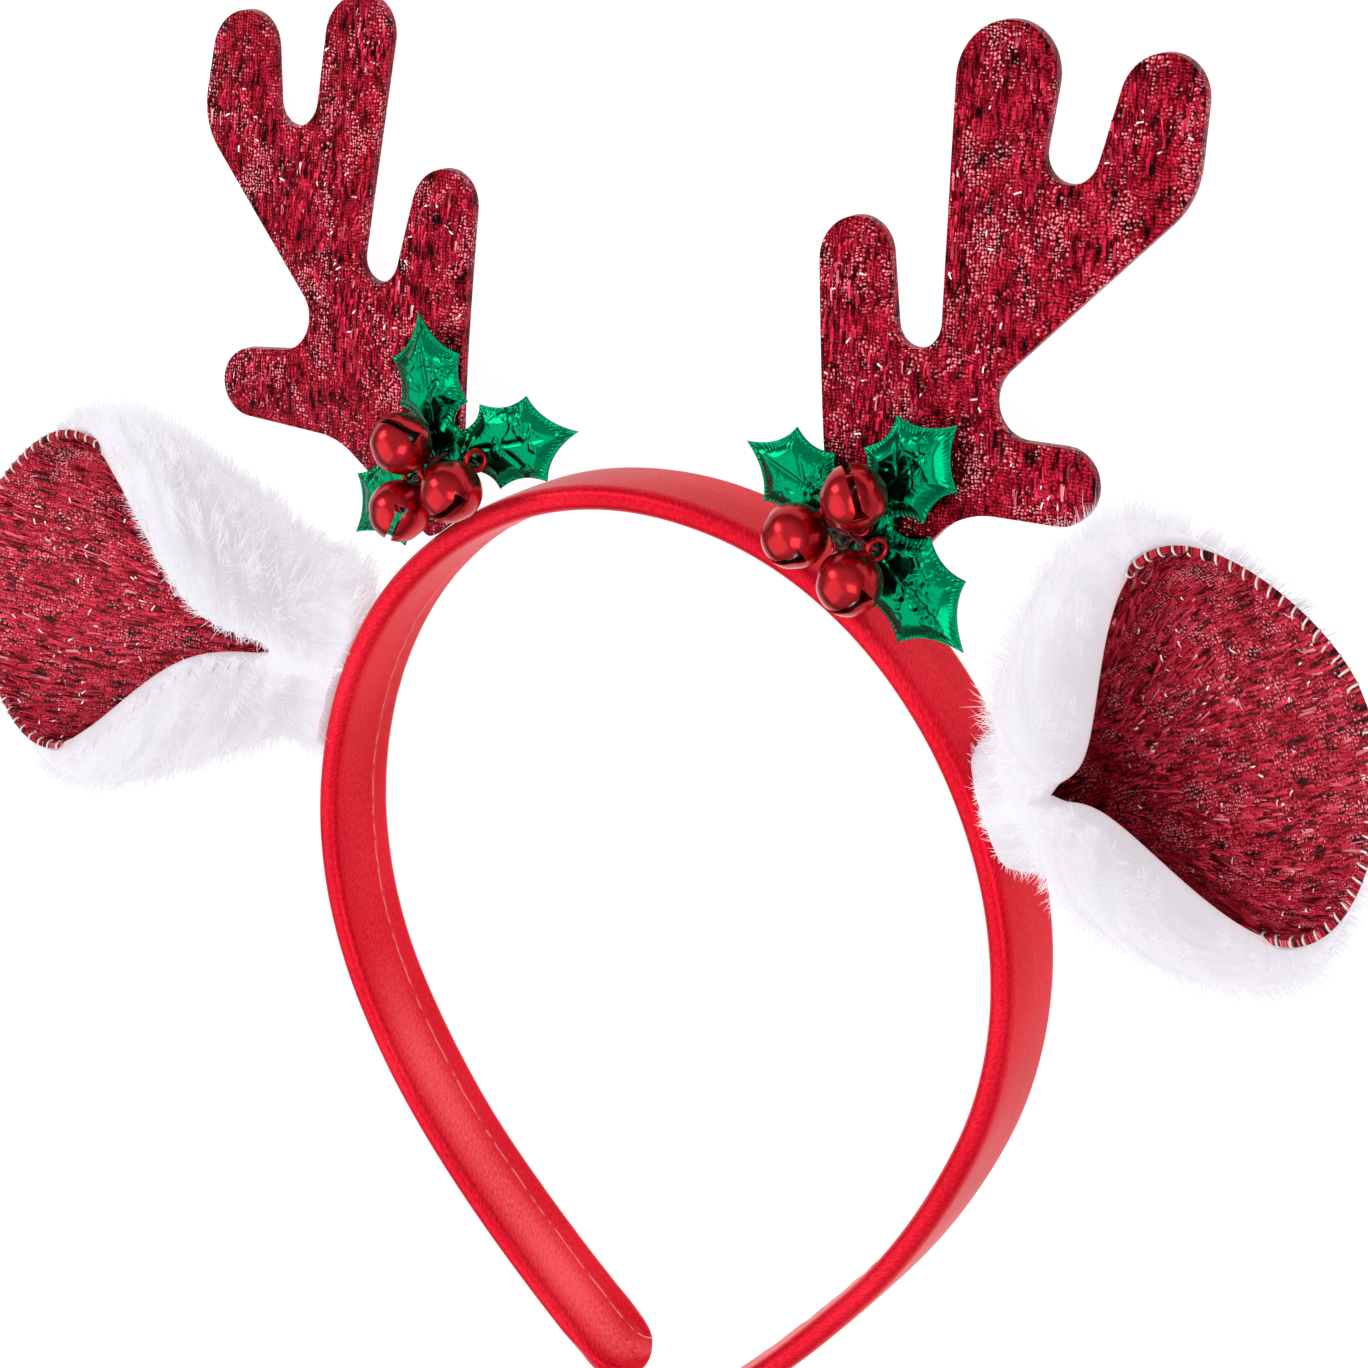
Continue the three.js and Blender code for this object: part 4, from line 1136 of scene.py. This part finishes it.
def make_ear(side, row):
    """An ear: the knit lining with its tinsel, the fur's body and hairs, and the stitched rim."""
    ear = row["ear"]
    lining, flat, area = ear_sheet(
        f"knit_lining_{side}", ear, (EAR["lining_from"], EAR["last"]), ear_wrap,
        lambda share, angle: 0 * share, lambda share, angle: EAR["lining"] + 0 * share,
        BRIGHTENED_LINING_KNIT, row["mirror"], "knit",
    )
    dress(lining, "metallic_knit", f"ear_lining_{side}")
    tinsel = dress(lining_tinsel(side, row), "metallic_knit")
    stitches = make_rim_stitches(side, row)
    fur, flat, area = ear_sheet(
        f"fur_backing_{side}", ear, (FUR_FROM, EAR["last"] - PILE["set_back"]), fur_wrap, fur_under,
        lambda share, angle: SKIN + fur_body(share, angle, ear), FUR, row["mirror"], "cloth",
    )
    dress(fur, "fur", f"ear_fur_{side}")
    pile = make_pile(side, row)


# Holly

def leaf_edge(length, breadth, steps):
    """One long edge of a leaf from its base to its point: spines with hollow curves between them."""
    centre = np.array([LEAF["middle"], 0.0])
    rows = []
    for here, there in zip(LEAF_SPINES, LEAF_SPINES[1:]):
        here, there = np.array(here), np.array(there)
        pull = (here + there) / 2 * (1 - LEAF["hollow"]) + centre * LEAF["hollow"]
        t = np.linspace(0, 1, steps, endpoint=False)[:, None]
        rows.append((1 - t) ** 2 * here + 2 * t * (1 - t) * pull + t**2 * there)
    rows.append(np.array([LEAF_SPINES[-1]]))
    return np.vstack(rows) * np.array([length, length * breadth])


def edge_distance(points, outline):
    """How far each flat point lies from a closed outline."""
    here, there = outline, np.roll(outline, -1, 0)
    span = there - here
    to = points[:, None] - here
    t = np.clip((to * span).sum(2) / np.maximum((span * span).sum(1), 1e-9), 0, 1)
    return np.linalg.norm(to - t[:, :, None] * span, axis=2).min(1)


def leaf_puff(points, length, breadth, outline, seed):
    """Half thickness of the puffed leaf: a thin sealed edge with crimps, a full middle, veins and dents."""
    apart = edge_distance(points, outline)
    full = smoothstep(LEAF["flange"], LEAF["shoulder"] + LEAF["flange"], apart)
    height = LEAF["rim"] / 2 + LEAF["puff"] * full**0.7
    x, y = points[:, 0] / length, points[:, 1] / (length * breadth)
    vein = np.exp(-((y / 0.022) ** 2)) * smoothstep(0.12, 0.3, x) * smoothstep(0.95, 0.8, x)
    for root, (spine_x, spine_y) in zip((0.2, 0.45), LEAF_SPINES[1:3]):
        way = np.array([spine_x - root, spine_y])
        reach = np.clip(((x - root) * way[0] + np.abs(y) * way[1]) / (way @ way), 0, 0.8)
        off = np.hypot(x - root - reach * way[0], np.abs(y) - reach * way[1])
        vein = np.maximum(vein, 0.7 * np.exp(-((off / 0.018) ** 2)) * smoothstep(0.8, 0.5, reach))
    spread = np.column_stack([points * 0.3, np.full(len(points), seed * 1.7)])
    patch = smoothstep(0.08, 0.45, rough(spread))
    ridges = 1 - np.abs(rough(spread * 2.3 + 5.1)) * 2
    dents = rough(spread * 3.4 + 2.3)
    crimp = np.sin(np.arctan2(points[:, 1], points[:, 0] - length * LEAF["middle"]) * 72)
    crimped = crimp * smoothstep(0.05, 0.3, apart) * smoothstep(1.1, 0.6, apart)
    height += -0.24 * vein * full + full * patch * (0.2 * ridges + 0.16 * dents) + 0.16 * crimped
    return np.maximum(height, LEAF["rim"] / 2)


def make_holly(side, row):
    """Three padded foil leaves joined at the middle by a puffed disc."""
    points, faces = [], []
    start = 0
    columns = 81
    for number, (angle, length, breadth) in enumerate(row["leaves"]):
        edge = leaf_edge(length, breadth, 40)
        outline = np.vstack([edge, edge[-2::-1] * [1, -1]])
        across = np.linspace(-1, 1, columns)
        flat = np.stack([np.repeat(edge[:, 0], columns), np.outer(edge[:, 1], across).ravel()], -1)
        puff = leaf_puff(flat, length, breadth, outline, row["seed"] + number)
        turn = math.radians(angle)
        placed = flat @ np.array([[math.cos(turn), math.sin(turn)], [-math.sin(turn), math.cos(turn)]])
        for height in (puff, -np.minimum(puff, 0.9)):
            points.append(np.column_stack([placed + row["sprig"], LEAF["z"] + height]))
        faces += sheet_faces(len(edge), columns, start)
        start += 2 * len(flat)
    sides = 40
    turns = np.arange(sides) / sides * math.tau
    for radius, height in DISC:
        ring = np.array(row["sprig"]) + radius * np.column_stack([np.cos(turns), np.sin(turns)])
        points.append(np.column_stack([ring, np.full(sides, LEAF["z"] + height)]))
    faces += grid_faces(len(DISC), sides, start, closed=True)
    holly = new_piece(f"foil_holly_{side}", np.vstack(points), faces, FOIL, row["mirror"])
    face_outwards(holly)
    dress(holly, "foil", f"holly_{side}")


# Bells

def make_bell_form():
    """One pressed bell, mouth down: a thin ball with a waist and loop, cut by a slot flared at its ends."""
    turns = np.radians(np.linspace(0, 180, 49))
    waist = 1 - BELL["waist"] * np.exp(-(((np.degrees(turns) - BELL["waist_at"]) / 14) ** 2))
    reach = BELL["radius"] * MM * waist
    profile = np.column_stack([reach * np.sin(turns), 0 * turns, reach * np.cos(turns)])
    mesh = bpy.data.meshes.new("bell_form")
    mesh.from_pydata(profile.tolist(), [(i, i + 1) for i in range(len(turns) - 1)], [])
    bell = bpy.data.objects.new("bell_form", mesh)
    bpy.context.scene.collection.objects.link(bell)
    pick(bell)
    bpy.ops.object.mode_set(mode="EDIT")
    bpy.ops.mesh.select_all(action="SELECT")
    bpy.ops.mesh.spin(steps=96, angle=math.tau, center=(0, 0, 0), axis=(0, 0, 1))
    bpy.ops.mesh.select_all(action="SELECT")
    bpy.ops.mesh.remove_doubles(threshold=0.001 * MM)
    bpy.ops.mesh.normals_make_consistent(inside=False)
    bpy.ops.object.mode_set(mode="OBJECT")
    apply_modifier(bell, "SOLIDIFY", thickness=BELL["wall"] * MM, offset=-1.0)
    through = 2.5 * BELL["radius"] * MM
    bpy.ops.object.select_all(action="DESELECT")
    bpy.ops.mesh.primitive_cube_add(size=1, location=(0, 0, -(SLOT["drop"] + BELL["radius"] / 2) * MM))
    slot = bpy.context.object
    slot.scale = (SLOT["width"] * MM, through, BELL["radius"] * MM)
    bpy.ops.object.select_all(action="DESELECT")
    bpy.ops.mesh.primitive_cylinder_add(
        vertices=3, radius=SLOT["flare"] * MM, depth=through, rotation=(math.radians(-90), 0, 0),
        location=(0, 0, -SLOT["drop"] * MM),
    )
    flare = bpy.context.object
    for cutter in (slot, flare):
        apply_modifier(bell, "BOOLEAN", object=cutter, operation="DIFFERENCE", solver="EXACT")
        bpy.data.objects.remove(cutter)
    round_edges(bell, 0.09, 50)
    bpy.ops.object.select_all(action="DESELECT")
    bpy.ops.mesh.primitive_torus_add(
        major_radius=BELL["loop"] * MM, minor_radius=BELL["wire"] * MM, major_segments=40, minor_segments=14,
        rotation=(math.radians(90), 0, 0), location=(0, 0, (BELL["radius"] + BELL["loop"] - 0.3) * MM),
    )
    bpy.ops.object.transform_apply(location=True, rotation=True, scale=True)
    bell.select_set(True)
    bpy.context.view_layer.objects.active = bell
    bpy.ops.object.join()
    smooth_below(bell, 35)
    bell.data.materials.clear()
    bell.data.materials.append(LACQUER)
    return bell


def make_pellet_form():
    """One tumbled steel ball, with the faint flat of its pressing round the middle."""
    bpy.ops.object.select_all(action="DESELECT")
    bpy.ops.mesh.primitive_uv_sphere_add(segments=32, ring_count=20, radius=PELLET_RADIUS * MM)
    pellet = bpy.context.object
    for polygon in pellet.data.polygons:
        polygon.select = abs(polygon.center.z) < 0.25 * MM
    bpy.ops.object.mode_set(mode="EDIT")
    bpy.ops.mesh.inset(thickness=0.04 * MM, depth=0.03 * MM)
    bpy.ops.object.mode_set(mode="OBJECT")
    smooth_below(pellet, 40)
    pellet.data.materials.append(STEEL)
    return pellet


def set_copy(form, name, turn, place):
    """A copy of a form with its own mesh, turned and placed in that mesh."""
    copy = bpy.data.objects.new(name, form.data.copy())
    bpy.context.scene.collection.objects.link(copy)
    copy.data.transform(Matrix.Translation((place + Vector(CENTRE)) * MM) @ turn.to_matrix().to_4x4())
    return copy


def make_bells(bell_form, pellet_form):
    """Three bells on each sprig, each turned as it lies, with its loose ball inside."""
    rest = BELL["radius"] - BELL["wall"] - PELLET_RADIUS - 0.35
    for side, row in SIDES.items():
        outwards = Vector((row["mirror"], 1, 1))
        for number, (x, y, mouth, slit, ball) in enumerate(row["bells"], 1):
            down = (Vector(mouth) * outwards).normalized()
            ahead = Vector(slit) * outwards
            ahead = (ahead - down * ahead.dot(down)).normalized()
            turn = Matrix((ahead.cross(-down), ahead, -down)).transposed().to_quaternion()
            place = Vector((row["mirror"] * x, y, BELL["z"]))
            bell = set_copy(bell_form, f"jingle_bell_{side}_{number}", turn, place)
            dress(bell, "lacquered_metal", f"bell_{side}_{number}")
            aside = (Vector(ball) * outwards).normalized() * rest
            pellet = set_copy(pellet_form, f"steel_ball_{side}_{number}", turn, place + aside)
            dress(pellet, "steel", f"pellet_{side}_{number}")
    bpy.data.objects.remove(bell_form)
    bpy.data.objects.remove(pellet_form)


def make_ties(side, row):
    """Dark red thread that ties the bells to the middle of the sprig, with a loose knot between them."""
    rng = np.random.default_rng(row["seed"] + 80)
    middle = np.array([bell[:2] for bell in row["bells"]]).mean(0)
    paths = []
    for x, y, mouth, _, _ in row["bells"]:
        for _ in range(TIE["per_bell"]):
            loop = np.array([x, y, BELL["z"]]) - unit(np.array(mouth)) * (BELL["radius"] + 0.6)
            loop += rng.normal(0, 0.25, 3)
            start = np.array([*middle, LEAF["z"] + 0.8]) + rng.normal(0, 0.7, 3) * [1, 1, 0]
            top = (loop + start) / 2 + [0, 0, 1.4]
            paths.append(curved([start, top, loop], 12))
    drop = np.array([0, 0, 1.2])
    for _ in range(TIE["knot"]):
        turn = rng.uniform(0, math.pi)
        way = np.array([math.cos(turn), math.sin(turn), 0.0]) * TIE["reach"]
        base = np.array([*middle, LEAF["z"] + 2.5]) + rng.normal(0, 0.7, 3)
        paths.append(curved([base - way - drop, base + [0, 0, 0.9], base + way - drop], 12))
    ties = threads(f"bell_ties_{side}", paths, [TIE["radius"]] * len(paths), 8, RED_THREAD, row["mirror"])
    dress(ties, "satin")


# Stage

def make_camera():
    """The camera at the photograph's viewing angle."""
    turn, tip_up, roll = (math.radians(angle) for angle in CAMERA["angles"])
    back = Vector((math.sin(turn) * math.cos(tip_up), math.sin(tip_up), math.cos(turn) * math.cos(tip_up)))
    level = Vector((math.cos(turn), 0, -math.sin(turn)))
    upright = back.cross(level)
    right = level * math.cos(roll) + upright * math.sin(roll)
    up = upright * math.cos(roll) - level * math.sin(roll)
    aim = (Vector(CAMERA["aim"]) + Vector(CENTRE)) * MM
    camera = bpy.data.objects.new("camera", bpy.data.cameras.new("camera"))
    camera.data.sensor_width = 36
    camera.data.lens = 18 / math.tan(math.radians(CAMERA["field"]) / 2)
    camera.data.clip_start = 0.01
    place = Matrix((right, up, back)).transposed().to_4x4()
    place.translation = aim + back * CAMERA["away"] * MM
    camera.matrix_world = place
    bpy.context.scene.collection.objects.link(camera)
    bpy.context.scene.camera = camera


def make_stage():
    """A pale floor, the room's light and soft boxes."""
    bpy.ops.object.select_all(action="DESELECT")
    bpy.ops.mesh.primitive_plane_add(size=30)
    floor = bpy.context.object
    floor.name = "studio_floor"
    floor.data.materials.append(floor_material())
    world = bpy.data.worlds.new("studio")
    world.use_nodes = True
    add = partial(add_node, world.node_tree)
    rise = add("SeparateXYZ", {"Vector": add("TexCoord").outputs["Generated"]}).outputs["Z"]
    # A bright ceiling over a dim wall, so that bent foil and bells have something dark to mirror
    sky = add("ValToRGB", {"Fac": rise}, stops=[(0.05, 0x5A5A5C), (0.35, 0xB4B4B6), (0.65, 0xF4F4F6)])
    set_inputs(world.node_tree.nodes["Background"], {"Color": sky, "Strength": 0.82})
    bpy.context.scene.world = world
    for name, place, side, power in LAMPS:
        lamp = bpy.data.lights.new(name, "AREA")
        lamp.size = side
        lamp.energy = power
        light = bpy.data.objects.new(name, lamp)
        light.location = place
        light.rotation_euler = (-Vector(place)).to_track_quat("-Z", "Y").to_euler()
        bpy.context.scene.collection.objects.link(light)
    bpy.context.scene.view_settings.view_transform = "Standard"


make_stage()
make_camera()
make_band()
for side_name, side_row in SIDES.items():
    make_antler(side_name, side_row)
    make_ear(side_name, side_row)
    make_holly(side_name, side_row)
    make_ties(side_name, side_row)
make_bells(make_bell_form(), make_pellet_form())
